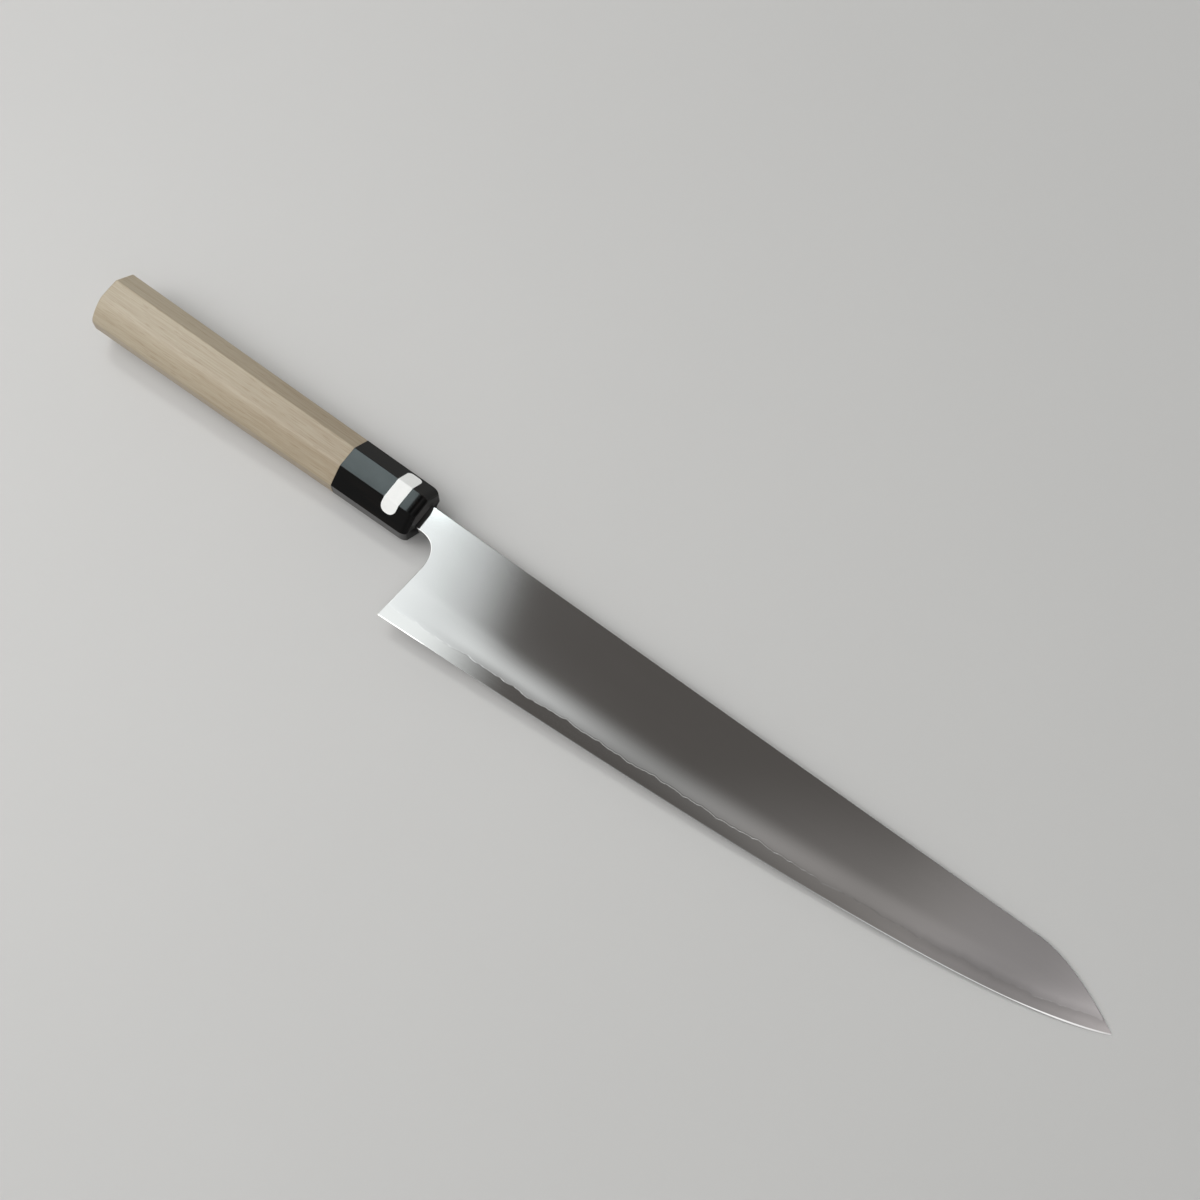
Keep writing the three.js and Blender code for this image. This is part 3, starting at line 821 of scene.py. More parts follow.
class BladeShape:
    """Curves and thicknesses of the blade, in the knife's own millimetres."""

    def __init__(self, sizes):
        for key in sizes.bl_rna.properties.keys():
            if key in ("rna_type", "name"):
                continue
            value = getattr(sizes, key)
            setattr(self, key, value if "slope" in key else value / MM)
        self.tip_x = self.heel_setback + self.edge_run
        self.nose_x = self.tip_x - self.nose_length
        share = np.linspace(0, 1, 1201)[:, None]
        heel = np.array([self.heel_setback, -self.heel_drop])
        tip = np.array([self.tip_x, -self.tip_drop])
        pull_heel = heel + self.edge_pull_heel * np.array([1, self.edge_slope_heel])
        pull_tip = tip - self.edge_pull_tip * np.array([1, self.edge_slope_tip])
        self.edge_line = (
            (1 - share) ** 3 * heel
            + 3 * (1 - share) ** 2 * share * pull_heel
            + 3 * (1 - share) * share ** 2 * pull_tip
            + share ** 3 * tip
        )
        bend_x = self.nose_x + self.nose_bend
        start = np.array([self.nose_x, self.spine(self.nose_x)])
        bend = np.array([bend_x, self.spine(bend_x)])
        part = np.linspace(0, 1, 61)[:, None]
        self.nose_line = (1 - part) ** 2 * start + 2 * (1 - part) * part * bend + part ** 2 * tip
        top = np.array([self.neck_length, -self.neck_drop])
        corner = np.array([self.choil_reach, -self.neck_drop])
        low = np.array([self.choil_reach, -self.neck_drop - self.choil_curve])
        part = np.linspace(0, 1, 29)[:, None]
        self.choil_line = (1 - part) ** 2 * top + 2 * (1 - part) * part * corner + part ** 2 * low

    def along(self, x):
        return np.clip(x / self.tip_x, 0, 1)

    def between(self, neck, tip, x):
        return neck + (tip - neck) * self.along(x)

    def spine(self, x):
        return self.neck_rise + (self.nose_rise - self.neck_rise) * x / self.nose_x

    def edge(self, x):
        x = np.asarray(x, float)
        line = self.edge_line
        past = np.maximum(x - self.tip_x, 0) * self.edge_slope_tip
        before = np.minimum(x - self.heel_setback, 0) * self.edge_slope_heel
        return np.interp(x, line[:, 0], line[:, 1]) + past + before

    def seam(self, x):
        """Where the core comes out from under the cladding: an uneven forged line."""
        x = np.asarray(x, float)
        rise = sum(high * np.sin(2 * np.pi * x / long + turn) for high, long, turn in SEAM_WAVES)
        return self.edge(x) + self.seam_rise + rise

    def core_half(self, x):
        return self.between(self.core_thick_neck, self.core_thick_tip, x) / 2

    def step(self, x):
        """How far the cladding stands proud at the seam: the step runs out towards heel and tip."""
        x = np.asarray(x, float)
        heel = eased((x - self.step_start) / self.step_run)
        nose = eased((self.step_stop - x) / self.step_run)
        return self.seam_step * (STEP_LEFT + (1 - STEP_LEFT) * heel * nose)

    def micro_height(self, x):
        """Height of the last bevel: it widens towards the tip."""
        part = eased((np.asarray(x, float) - self.nose_x) / (MICRO_GROWTH_RUN * self.nose_length))
        return self.micro_rise * (1 + MICRO_GROWTH * part)

    def back_half(self, x):
        blade = self.between(self.back_thick_neck, self.back_thick_tip, x)
        thinner = self.tang_end_thick - self.back_thick_neck
        tang = self.back_thick_neck + thinner * np.clip(-x / self.tang_length, 0, 1)
        return np.where(x > 0, blade, tang) / 2

    def face(self, x, y):
        """Half thickness at the outside of the cladding: a rounded bevel, then a nearly flat face."""
        seam = self.edge(x) + self.seam_rise
        height = self.between(self.bevel_height_neck, self.bevel_height_tip, x)
        low = self.core_half(x) + self.step(x)
        shoulder = self.between(self.shoulder_thick_neck, self.shoulder_thick_tip, x) / 2
        top = self.spine(x) + FACE_OVERRUN
        flat = (self.back_half(x) - shoulder) / (top - seam - height)
        steep = flat + 2 * ((shoulder - low) / height - flat)
        part = np.clip((y - seam) / height, 0, 1)
        bevel = flat * part + (steep - flat) * (part - part ** 3 + part ** 4 / 2)
        below = np.minimum(y - seam, 0) * steep
        above = np.maximum(y - seam - height, 0) * flat
        return low + bevel * height + above + below

    def core_face(self, x, y, zone):
        """Half thickness of the core: 0 is its flat, 1 the bevel, 2 the last bevel at the edge."""
        height = y - self.edge(x)
        half = self.core_half(x)
        lift = self.micro_height(x)
        micro = self.micro_thick / 2 * lift / self.micro_rise
        run = self.seam_rise + self.seam_stray - lift
        bevel = micro + (half - micro) * (height - lift) / run
        return np.select([zone == 0, zone == 1], [half + 0 * height, bevel], micro * height / lift)

    def choil_x(self, y):
        low = self.choil_line[-1]
        lean = (low[0] - self.heel_setback) / (low[1] + self.heel_drop)
        return low[0] - lean * (low[1] - y)

    def tang_loop(self):
        """From the neck's lower corner back along the tang and forward to the neck's upper corner."""
        half = self.tang_height / 2
        end = self.tang_end_height / 2
        gap = self.neck_gap
        lower = [(gap, -self.neck_drop), (gap, -half)]
        back = [(-self.tang_length, -end), (-self.tang_length, end)]
        upper = [(gap, half), (gap, self.neck_rise)]
        return lower, back, upper

    def upper_outline(self):
        """Neck, spine and nose, up to the tip."""
        spine_x = np.linspace(self.neck_gap, self.nose_x, 110)[1:]
        spine = np.c_[spine_x, self.spine(spine_x)]
        return np.vstack([spine, self.nose_line[1:]])

    def rear_outline(self, foot):
        """From a foot on the choil's straight part up to the neck and around the tang."""
        low = self.choil_line[-1]
        straight = [(self.choil_x(y), y) for y in np.linspace(foot, low[1], 16)][:-1]
        lower, back, upper = self.tang_loop()
        return np.vstack([straight, self.choil_line[::-1], lower, back, upper])


def spread(first, second, step):
    """Points from first to second, the last one left out."""
    count = max(int(math.ceil(np.linalg.norm(np.subtract(second, first)) / step)), 1)
    share = np.arange(count)[:, None] / count
    return np.asarray(first) + (np.asarray(second) - np.asarray(first)) * share


def dense(loop, step):
    """Closed loop, turned anticlockwise, with no side longer than step."""
    loop = loop[::-1]
    return np.vstack([spread(a, b, step) for a, b in zip(loop, np.roll(loop, -1, axis=0))])


def nearest_on(loop, points):
    """Distance from each point to a closed loop, the direction to it, and the number of the nearest side."""
    first, second = loop, np.roll(loop, -1, axis=0)
    side = second - first
    square = np.maximum((side ** 2).sum(1), 1e-12)
    distance, number_of = np.empty(len(points)), np.empty(len(points), int)
    towards = np.empty((len(points), 2))
    for begin in range(0, len(points), 2000):
        part = points[begin:begin + 2000]
        offset = part[:, None] - first
        share = np.clip((offset * side).sum(2) / square, 0, 1)
        gap = first + share[..., None] * side - part[:, None]
        size = np.hypot(gap[..., 0], gap[..., 1])
        best = size.argmin(1)
        rows = np.arange(len(part))
        distance[begin:begin + 2000] = size[rows, best]
        number_of[begin:begin + 2000] = best
        towards[begin:begin + 2000] = gap[rows, best]
    return distance, towards, number_of


def outward_at(loop):
    """Outward direction at each point of a loop that runs anticlockwise."""
    side = np.roll(loop, -1, axis=0) - loop
    side /= np.maximum(np.linalg.norm(side, axis=1, keepdims=True), 1e-9)
    out = np.c_[side[:, 1], -side[:, 0]]
    mean = out + np.roll(out, 1, axis=0)
    return mean / np.maximum(np.linalg.norm(mean, axis=1, keepdims=True), 1e-9)


def inside(loop, points):
    """Which points lie inside a closed loop."""
    found = np.zeros(len(points), bool)
    for a, b in zip(loop, np.roll(loop, -1, axis=0)):
        if a[1] == b[1]:
            continue
        crosses = (a[1] > points[:, 1]) != (b[1] > points[:, 1])
        found ^= crosses & (points[:, 0] < a[0] + (points[:, 1] - a[1]) * (b[0] - a[0]) / (b[1] - a[1]))
    return found


def triangulated(loop, lines, points):
    """Triangles that fill a closed loop, keep the given lines and use the given points."""
    chains = [np.vstack([loop, loop[:1]])] + lines
    vertices, edges = [], []
    for chain in chains:
        start = len(vertices)
        vertices.extend(chain)
        edges.extend((start + k, start + k + 1) for k in range(len(chain) - 1))
    vertices.extend(points)
    found = delaunay_2d_cdt([Vector(v) for v in vertices], edges, [], 1, 1e-5, True)
    corners = np.array([list(v) for v in found[0]], float)
    triangles = np.array(found[2], int)
    a, b, c = (corners[triangles[:, k]] for k in range(3))
    area = (b[:, 0] - a[:, 0]) * (c[:, 1] - a[:, 1]) - (b[:, 1] - a[:, 1]) * (c[:, 0] - a[:, 0])
    triangles[area < 0] = triangles[area < 0][:, ::-1]
    kept = inside(loop, corners[triangles].mean(1))
    return corners, triangles[kept]


def rim_sides(triangles):
    """Sides that belong to one triangle only, in the triangle's order."""
    sides = np.vstack([triangles[:, [0, 1]], triangles[:, [1, 2]], triangles[:, [2, 0]]])
    keys = {tuple(s) for s in sides}
    return np.array([s for s in sides if (s[1], s[0]) not in keys])


def grid_points(shape, loop, row_heights, column_step, clear):
    """Points inside a loop, on columns across the blade, clear of the loop itself."""
    found = []
    for x in np.arange(loop[:, 0].min(), loop[:, 0].max(), column_step):
        found.extend((x, y) for y in float(shape.edge(x)) + row_heights)
    points = np.array(found)
    points = points[inside(loop, points)]
    return points[nearest_on(loop, points)[0] > clear]


def slope_of(function, x, y):
    """Slope of a height function along and across the blade."""
    step = 0.05
    along = (function(x + step, y) - function(x - step, y)) / (2 * step)
    across = (function(x, y + step) - function(x, y - step)) / (2 * step)
    return along, across


def unit(vectors):
    return vectors / np.maximum(np.linalg.norm(vectors, axis=-1, keepdims=True), 1e-12)


def steel_mesh(name, shape, places, triangles, normals, material):
    """Mesh from places in the knife's millimetres, with given corner normals and a seam map."""
    mesh = bpy.data.meshes.new(name)
    used, triangles = np.unique(triangles, return_inverse=True)
    places, triangles = places[used], triangles.reshape(-1, 3)
    moved = places * MM + np.array(ZERO)
    mesh.from_pydata(moved.tolist(), [], triangles.tolist())
    mesh.shade_smooth()
    mesh.normals_split_custom_set(unit(normals).reshape(-1, 3).tolist())
    seam_map = mesh.uv_layers.new(name="seam")
    flat = places[triangles.reshape(-1)]
    above = (flat[:, 1] - shape.seam(flat[:, 0])) / 10
    seam_map.data.foreach_set("uv", np.c_[flat[:, 0] / 10, above].ravel())
    mesh.materials.append(material)
    return mesh


# Lengths of the blade's meshes, in millimetres: the longest side of an outline, the steps of the core's and
# the cladding's inner points, and how far these stay clear of the outline.
LONGEST_SIDE = 3.0
CORE_COLUMN, CORE_CLEAR = 4.0, 0.9
CLADDING_COLUMN, CLADDING_CLEAR = 1.8, 0.75
CORE_ROWS = np.concatenate([[1.4, 2.6], np.arange(9.0, 46.0, 4.0)])
CLADDING_ROWS = np.concatenate([np.arange(5.6, 20.0, 0.9), np.arange(20.5, 46.0, 2.6)])
EDGE_POINTS = 260
SEAM_POINTS = 420
# Rounded rim of the cladding along the seam, and the share of the step that it takes.
SEAM_RIM = 0.14
SEAM_RIM_DEPTH = 0.85
RIM_SHARES = (0.1, 0.25, 0.5, 1.0)
# Least thickness of the cladding at its rim.
LEAST_CLADDING = 0.0003


class KNIFE_OT_blade_core(bpy.types.Operator):
    """Hard steel core: the edge, its two bevels and the tang"""

    bl_idname = "knife.blade_core"
    bl_label = "Blade core"

    def execute(self, context):
        shape = BladeShape(context.scene.knife_blade)
        edge_x = np.linspace(shape.tip_x, shape.heel_setback, EDGE_POINTS)[1:]
        edge = np.c_[edge_x, shape.edge(edge_x)]
        rear = shape.rear_outline(-shape.heel_drop)[1:]
        loop = dense(np.vstack([shape.upper_outline(), edge, rear]), LONGEST_SIDE)
        seam_x = np.linspace(seam_meets_choil(shape), seam_meets_nose(shape), SEAM_POINTS)
        seam = np.c_[seam_x, shape.seam(seam_x)]
        micro_foot = shape.choil_x(shape.edge(shape.heel_setback) + shape.micro_rise)
        micro_x = np.linspace(float(micro_foot), micro_meets_nose(shape), EDGE_POINTS)
        micro = np.c_[micro_x, shape.edge(micro_x) + shape.micro_height(micro_x)]
        points = grid_points(shape, loop, CORE_ROWS, CORE_COLUMN, CORE_CLEAR)
        points = points[np.abs(points[:, 1] - shape.seam(points[:, 0])) > 0.5]
        corners, triangles = triangulated(loop, [seam, micro], points)
        x, y = corners.T
        middle = corners[triangles].mean(1)
        height = middle[:, 1] - shape.edge(middle[:, 0])
        zone_of = np.where(height > shape.micro_height(middle[:, 0]), 1, 2)
        zone_of[middle[:, 1] > shape.seam(middle[:, 0])] = 0
        above_edge = y - shape.edge(x)
        zone_at = np.where(above_edge > shape.micro_height(x) - 1e-4, 1, 2)
        zone_at[y > shape.seam(x) + 1e-3] = 0
        half = np.clip(shape.core_face(x, y, zone_at), 0.0, shape.core_half(x))
        half[above_edge < 1e-3] = 0.0
        corner_x, corner_y = x[triangles], y[triangles]
        zones = np.repeat(zone_of[:, None], 3, axis=1)
        along, across = slope_of(lambda px, py: shape.core_face(px, py, zones), corner_x, corner_y)
        up = np.stack([-along, -across, np.ones_like(along)], axis=-1)
        count = len(corners)
        lower = np.arange(count) + count
        sharp = half < 1e-9
        lower[sharp] = np.arange(count)[sharp]
        places = np.vstack([np.c_[corners, half], np.c_[corners, -half]])
        sides = rim_sides(triangles)
        run = corners[sides[:, 1]] - corners[sides[:, 0]]
        out = unit(np.c_[run[:, 1], -run[:, 0]])
        faces, normals = [triangles, lower[triangles[:, ::-1]]], [up, up[:, ::-1] * (1, 1, -1)]
        walls, wall_normals = [], []
        for (a, b), direction in zip(sides, out):
            if sharp[a] and sharp[b]:
                continue
            flat = (*direction, 0.0)
            for wall in ((b, a, lower[a]), (b, lower[a], lower[b])):
                if len(set(wall)) == 3:
                    walls.append(wall)
                    wall_normals.append([flat] * 3)
        faces.append(np.array(walls))
        normals.append(np.array(wall_normals))
        colours = context.scene.knife_colours
        material = steel_finish("core_steel", colours.core)
        mesh = steel_mesh("blade_core_steel", shape, places, np.vstack(faces), np.vstack(normals), material)
        finish_piece(mesh, "blade_core_steel", "blade_core")
        return {"FINISHED"}


def micro_meets_nose(shape):
    x, y = shape.nose_line.T
    gap = y - shape.edge(x) - shape.micro_height(x)
    return float(np.interp(0.0, gap[::-1], x[::-1]))


def seam_meets_nose(shape):
    x = np.linspace(shape.nose_x, shape.tip_x, 4001)
    gap = np.interp(x, shape.nose_line[:, 0], shape.nose_line[:, 1]) - shape.seam(x)
    return float(x[np.argmax(gap < 0)])


def seam_meets_choil(shape):
    y = -shape.heel_drop + shape.seam_rise
    for _ in range(30):
        y = float(shape.seam(shape.choil_x(y)))
    return float(shape.choil_x(y))


class KNIFE_OT_blade_cladding(bpy.types.Operator):
    """Softer steel on both sides of the core, with rounded bevels and rims"""

    bl_idname = "knife.blade_cladding"
    bl_label = "Blade cladding"

    def execute(self, context):
        shape = BladeShape(context.scene.knife_blade)
        colours = context.scene.knife_colours
        seam_stop = seam_meets_nose(shape)
        seam_start = seam_meets_choil(shape)
        upper = shape.upper_outline()
        upper = upper[upper[:, 0] < seam_stop - 0.3]
        seam_x = np.linspace(seam_stop, seam_start, SEAM_POINTS)
        seam = np.c_[seam_x, shape.seam(seam_x)]
        rear = shape.rear_outline(float(shape.seam(seam_start)))[1:]
        loop = dense(np.vstack([upper, seam, rear]), LONGEST_SIDE)
        on_seam = np.abs(loop[:, 1] - shape.seam(loop[:, 0])) < 1e-6
        on_seam &= loop[:, 0] > seam_start - 0.01
        rim_wide = np.where(on_seam, SEAM_RIM, shape.rim_round)
        out = outward_at(loop)
        chains = []
        for share in RIM_SHARES:
            inner = loop - out * (rim_wide * share)[:, None]
            chains.append(np.vstack([inner, inner[:1]]))
        points = grid_points(shape, loop, CLADDING_ROWS, CLADDING_COLUMN, CLADDING_CLEAR)
        corners, triangles = triangulated(loop, chains, points)
        x, y = corners.T
        gap, towards, side = nearest_on(loop, corners)
        seam_side = on_seam[side] & on_seam[(side + 1) % len(loop)]
        wide = np.where(seam_side, SEAM_RIM, shape.rim_round)
        deep = np.where(seam_side, shape.step(x) * SEAM_RIM_DEPTH, shape.rim_round)
        near = np.clip(1 - gap / wide, 0, 1)
        rise = np.sqrt(np.maximum(1 - near ** 2, 0))
        half = shape.face(x, y) - deep * (1 - rise)
        half = np.maximum(half, shape.core_half(x) + LEAST_CLADDING)
        direction = unit(towards)
        on_rim = gap < 1e-4
        direction[on_rim] = out[np.argmin(((corners[on_rim][:, None] - loop) ** 2).sum(2), axis=1)]
        along, across = slope_of(shape.face, x, y)
        upward = rise / deep
        normal = np.c_[
            direction * (near / wide)[:, None] - np.c_[along, across] * upward[:, None],
            upward,
        ]
        count = len(corners)
        bed = np.where(on_rim & seam_side, shape.core_face(x, y, np.ones(count)), shape.core_half(x))
        bed = np.minimum(bed, shape.core_half(x))
        places = np.vstack([np.c_[corners, half], np.c_[corners, bed]])
        sides = rim_sides(triangles)
        run = corners[sides[:, 1]] - corners[sides[:, 0]]
        wall_out = unit(np.c_[run[:, 1], -run[:, 0], np.zeros(len(run))])
        walls = np.vstack([
            np.c_[sides[:, 1], sides[:, 0], sides[:, 0] + count],
            np.c_[sides[:, 1], sides[:, 0] + count, sides[:, 1] + count],
        ])
        wall_normals = np.repeat(np.vstack([wall_out, wall_out])[:, None], 3, axis=1)
        inner = triangles[:, ::-1] + count
        inner_normals = np.broadcast_to([0.0, 0.0, -1.0], (len(inner), 3, 3))
        faces = np.vstack([triangles, walls, inner])
        normals = np.vstack([normal[triangles], wall_normals, inner_normals])
        material = steel_finish("cladding_steel", colours.cladding, CLADDING_LINES)
        for name, node, sign in (
            ("blade_cladding_steel_right", "blade_cladding_right", 1),
            ("blade_cladding_steel_left", "blade_cladding_left", -1),
        ):
            turned = places * (1, 1, sign)
            ordered, pointed = faces, normals * (1, 1, sign)
            if sign < 0:
                ordered, pointed = faces[:, ::-1], pointed[:, ::-1]
            mesh = steel_mesh(name, shape, turned, ordered, pointed, material)
            finish_piece(mesh, name, node)
        return {"FINISHED"}


class KNIFE_OT_hidden_fittings(bpy.types.Operator):
    """Finishes of the dowel and the seal inside the handle"""

    bl_idname = "knife.hidden_fittings"
    bl_label = "Hidden fittings"

    def execute(self, context):
        for node, material in (
            ("joining_dowel", plain_finish("dowel_wood", (0.46, 0.34, 0.2), 0.7, 900.0)),
            ("tang_seal", plain_finish("dark_resin", (0.012, 0.01, 0.008), 0.35, 300.0)),
        ):
            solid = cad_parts[node]
            solid.data.materials.clear()
            solid.data.materials.append(material)
        return {"FINISHED"}


# Stage.

def place(name, description, *default):
    return FloatVectorProperty(
        name=name,
        description=description,
        default=default,
        subtype="XYZ",
        unit="LENGTH",
    )


class StageSettings(bpy.types.PropertyGroup):
    """Camera, floor and light."""

    camera: place("Camera", "Camera's place", 0.11915, -0.14497, 0.64010)
    target: place("Target", "What the camera looks at", -0.00494, 0.02420, 0.009495)
    lens: FloatProperty(name="Lens", description="Focal length, 36 mm frame", default=59.98, unit="CAMERA")
    key: place("Key lamp", "Place of the soft lamp", -0.50, -0.20, 0.60)
    key_aim: place("Key aim", "What the soft lamp points at", -0.03, 0.01, 0.0)
    key_size: length("Key size", "Diameter of the soft lamp", 680.0)
    key_power: FloatProperty(name="Key power", description="Power of the lamp", default=2.8, unit="POWER")
    floor_reach: length("Floor reach", "Radius of the floor", 8000.0)


def studio_dome(world):
    """Soft light from all sides, by direction: u towards the tip, v towards the spine and w up.

    A window and a softbox stand beyond the butt and a strip lies across the spine. The ceiling is dim
    over the knife, the front lights the edge, and pale walls go round to a horizon like the floor."""
    world.use_nodes = True
    tree = world.node_tree
    tree.nodes.clear()
    way = add(tree, "ShaderNodeTexCoord").outputs["Generated"]
    axes = add(tree, "ShaderNodeSeparateXYZ", {"Vector": way}).outputs
    u, v, w = axes["X"], axes["Y"], axes["Z"]

    def step(value, *ends):
        return soft_step(tree, value, *ends)

    def total(first, *rest):
        for value in rest:
            first = calc(tree, "ADD", first, value)
        return first

    def product(first, *rest):
        for value in rest:
            first = calc(tree, "MULTIPLY", first, value)
        return first

    def total_light(first, second):
        return add(tree, "ShaderNodeVectorMath", {0: first, 1: second}, operation="ADD").outputs[0]

    def tinted(value, tint):
        return scaled(tree, tint, value)

    # Dim ceiling, brighter towards the tip, and the field over the knife that it fills.
    ceiling = product(step(u, 0.09, 0.19, 0.0, 0.534), step(u, 0.4, 0.25))
    ceiling = total(ceiling, step(u, 0.0, 0.063, 0.0, 0.108), 0.122)
    inner = product(step(u, -0.42, -0.33), step(u, 0.36, 0.26), step(v, -0.36, -0.22), step(v, 0.40, 0.30))
    outer = calc(tree, "SUBTRACT", 1.0, inner)
    ceiling = product(ceiling, inner)
    # Pale walls outside that field.
    sides = product(step(v, 0.3, -0.5, 0.0, 0.20), total(step(u, 0.32, -0.22), step(u, 0.32, 0.62)))
    ends = total(step(u, -0.25, -0.7, 0.0, 0.26), step(u, 0.85, 0.5, 0.0, 0.09))
    ends = total(ends, product(step(u, 0.72, 0.45, 0.0, 0.12), step(u, 0.25, 0.40)))
    walls = product(total(step(v, 0.45, -0.55, 0.12, 0.17), sides, ends), outer)
    # Window beyond the butt, with a leaning border in its upper part and a plain one below.
    lean = calc(tree, "MULTIPLY_ADD", calc(tree, "MAXIMUM", v, 0.161), 0.25, -0.0438)
    across = total(u, lean)
    upper = total(step(across, -0.199, -0.2355, 0.0, 0.65), step(across, -0.225, -0.271, 0.0, 0.62))
    lower = step(u, -0.1925, -0.247, 0.0, 1.42)
    window = total(product(upper, step(v, 0.045, 0.06)), product(lower, step(v, 0.06, 0.045)))
    window = product(window, step(u, -0.62, -0.42), step(v, 0.36, 0.26), step(v, -0.5, -0.3))
    # Softbox beside the window: the near part shows in the horn's upper facet, the far one lights the rest.
    softbox = product(step(u, -0.68, -0.55, 0.0, 8.2), step(v, 0.216, 0.228), step(v, 0.40, 0.33))
    near = product(softbox, step(u, -0.262, -0.276), step(u, -0.40, -0.33))
    far = product(softbox, step(u, -0.33, -0.40))
    # Strip that shows in the rounded bevel, and the light in front that shows in the last bevel.
    reach = calc(tree, "MULTIPLY_ADD", calc(tree, "MAXIMUM", total(u, 0.1), 0.0), -0.6845, v)
    foot = calc(tree, "MULTIPLY_ADD", u, -0.093, v)
    strip = total(step(u, 0.312, -0.218, 0.0, 0.374), step(u, -0.1115, -0.202, 0.0, 0.438))
    strip = product(strip, step(u, -0.256, -0.192), step(reach, 0.2048, 0.0593))
    strip = product(strip, step(foot, 0.0641, 0.1031), step(v, 0.36, 0.26))
    front = total(step(u, -0.02, 0.1, 0.0, 1.1), step(u, 0.12, 0.2, 0.0, 0.6), 0.45)
    front = product(front, step(v, -0.10, -0.2), step(v, -0.65, -0.4))
    front = product(front, step(u, -0.262, -0.2), step(u, 0.5, 0.3))
    # Tints, and the sum of it all.
    tone = blend_colours(tree, step(u, 0.0, 0.09), (1.0, 0.94, 0.89, 1.0), (1.0, 0.955, 0.965, 1.0))
    strip_tone = blend_colours(tree, step(u, -0.12, -0.01), (0.955, 1.0, 1.01, 1.0), (1.0, 0.975, 0.97, 1.0))
    warm = total_light(tinted(ceiling, tone), tinted(strip, strip_tone))
    cool = total_light(tinted(total(window, front), (0.94, 1.0, 1.015)), tinted(near, (0.80, 0.98, 1.0)))
    cool = total_light(cool, tinted(far, (1.0, 0.99, 0.97)))
    overhead = total_light(total_light(warm, cool), tinted(walls, (1.0, 0.99, 0.975)))
    light = blend_colours(tree, step(w, 0.32, 0.12), overhead, (0.36, 0.357, 0.35, 1.0))
    back = add(tree, "ShaderNodeBackground", {"Color": light, "Strength": 1.0})
    add(tree, "ShaderNodeOutputWorld", {"Surface": back.outputs[0]})


# Pieces that can touch the floor.
RESTING = ("handle_wood", "ferrule_horn", "blade_core_steel", "blade_cladding_steel_left")


def resting_plane(pieces):
    """Height and slope of the plane that the knife lies on: the lower hull's side under its middle."""
    points = np.vstack([
        np.array([v.co for v in piece.data.vertices], float)[:, [0, 2]] for piece in pieces
    ])
    order = points[np.lexsort((points[:, 1], points[:, 0]))]
    hull = []
    for point in order:
        while len(hull) > 1:
            first, second = hull[-1] - hull[-2], point - hull[-2]
            if first[0] * second[1] - first[1] * second[0] > 0:
                break
            hull.pop()
        hull.append(point)
    for a, b in zip(hull, hull[1:]):
        if a[0] <= 0.0 <= b[0]:
            slope = (b[1] - a[1]) / (b[0] - a[0])
            return a[1] - slope * a[0], slope
    raise RuntimeError("the knife has no side to rest on")


def floor_finish(colours):
    material, tree, surface = new_material("pale_floor")
    mottle = noise(tree, stretched(tree, (9.0, 9.0, 9.0)), detail=4.0)
    grey = calc(tree, "MULTIPLY_ADD", mottle, 0.03, 0.985)
    tree.links.new(scaled(tree, tuple(colours.floor), grey), surface.inputs["Base Color"])
    surface.inputs["Roughness"].default_value = 0.8
    surface.inputs["Specular IOR Level"].default_value = 0.2
    return material


FLOOR_SIDES = 96
# The floor lies this far under the knife.
FLOOR_GAP = 0.02 * MM


def aimed(start, target):
    """Turn of a lamp or a camera that looks from its place at a target."""
    return (Vector(target) - Vector(start)).to_track_quat("-Z", "Y").to_euler()


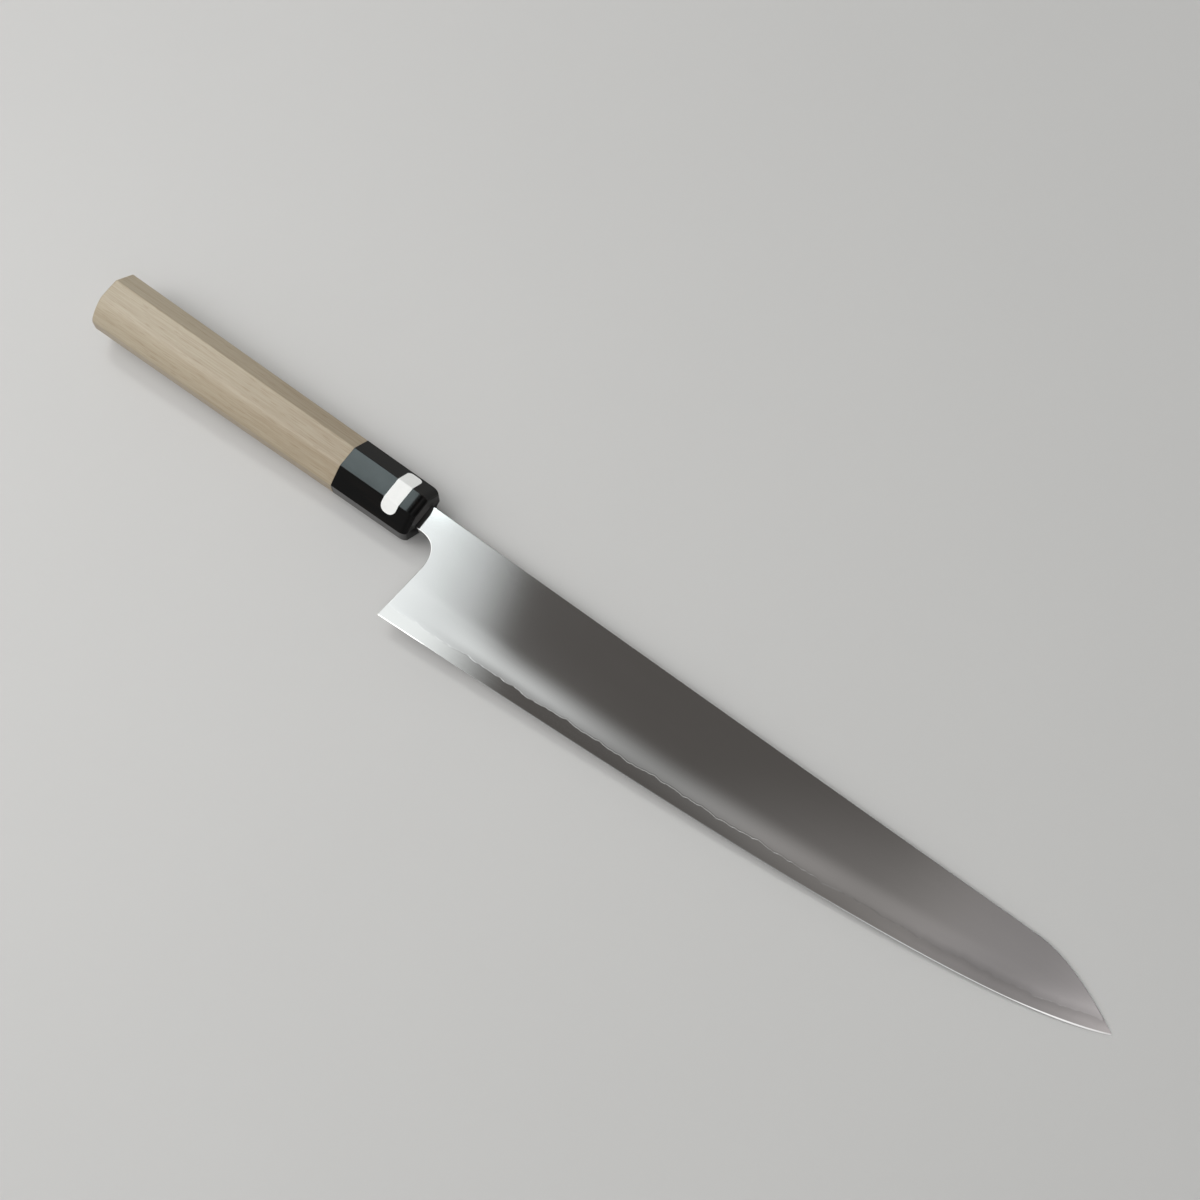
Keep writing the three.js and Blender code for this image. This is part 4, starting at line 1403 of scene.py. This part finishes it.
class KNIFE_OT_stage(bpy.types.Operator):
    """Pale round floor, soft light and the camera"""

    bl_idname = "knife.stage"
    bl_label = "Stage"

    def execute(self, context):
        scene = context.scene
        settings = scene.knife_stage
        height, slope = resting_plane([bpy.data.objects[name] for name in RESTING])
        vertices = []
        for side in range(FLOOR_SIDES):
            turn = 2 * math.pi * side / FLOOR_SIDES
            x, y = settings.floor_reach * math.cos(turn), settings.floor_reach * math.sin(turn)
            vertices.append((x, y, height + slope * x - FLOOR_GAP))
        mesh = bpy.data.meshes.new("floor")
        mesh.from_pydata(vertices, [], [tuple(range(FLOOR_SIDES))])
        mesh.materials.append(floor_finish(scene.knife_colours))
        floor = bpy.data.objects.new("floor", mesh)
        scene.collection.objects.link(floor)

        scene.world = bpy.data.worlds.new("studio_dome")
        studio_dome(scene.world)
        lamp = bpy.data.lights.new("key_lamp", "AREA")
        lamp.shape = "DISK"
        lamp.size = settings.key_size
        lamp.energy = settings.key_power
        key = bpy.data.objects.new("key_lamp", lamp)
        key.location = settings.key
        key.rotation_euler = aimed(settings.key, settings.key_aim)
        key.visible_camera = False
        scene.collection.objects.link(key)

        view = bpy.data.cameras.new("camera")
        view.lens = settings.lens
        view.sensor_width = 36.0
        view.clip_start = 0.01
        view.clip_end = 50.0
        camera = bpy.data.objects.new("camera", view)
        camera.location = settings.camera
        camera.rotation_euler = aimed(settings.camera, settings.target)
        scene.collection.objects.link(camera)
        scene.camera = camera
        scene.view_settings.view_transform = "Standard"
        return {"FINISHED"}


OPERATORS = (
    KNIFE_OT_blade_core,
    KNIFE_OT_blade_cladding,
    KNIFE_OT_wooden_handle,
    KNIFE_OT_horn_ferrule,
    KNIFE_OT_paper_band,
    KNIFE_OT_hidden_fittings,
    KNIFE_OT_stage,
)


class KNIFE_PT_sidebar(bpy.types.Panel):
    """Lists the knife's pieces, sizes and colours"""

    bl_idname = "KNIFE_PT_sidebar"
    bl_label = "Slicing knife"
    bl_space_type = "VIEW_3D"
    bl_region_type = "UI"
    bl_category = "Knife"

    def draw(self, context):
        for operator in OPERATORS:
            self.layout.operator(operator.bl_idname)
        for key in GROUPS:
            group = getattr(context.scene, key)
            box = self.layout.box()
            box.label(text=GROUPS[key].__doc__)
            for name in GROUPS[key].__annotations__:
                box.prop(group, name)


GROUPS = {
    "knife_handle": HandleSizes,
    "knife_blade": BladeSizes,
    "knife_band": BandSizes,
    "knife_colours": KnifeColours,
    "knife_stage": StageSettings,
}
CLASSES = (*GROUPS.values(), *OPERATORS, KNIFE_PT_sidebar)


def register():
    for item in CLASSES:
        bpy.utils.register_class(item)
    for key, group in GROUPS.items():
        setattr(bpy.types.Scene, key, PointerProperty(type=group))


def unregister():
    for key in GROUPS:
        delattr(bpy.types.Scene, key)
    for item in reversed(CLASSES):
        bpy.utils.unregister_class(item)


def main():
    register()
    bpy.ops.knife.blade_core()
    bpy.ops.knife.blade_cladding()
    bpy.ops.knife.wooden_handle()
    bpy.ops.knife.horn_ferrule()
    bpy.ops.knife.paper_band()
    bpy.ops.knife.hidden_fittings()
    bpy.ops.knife.stage()


if __name__ == "__main__":
    main()
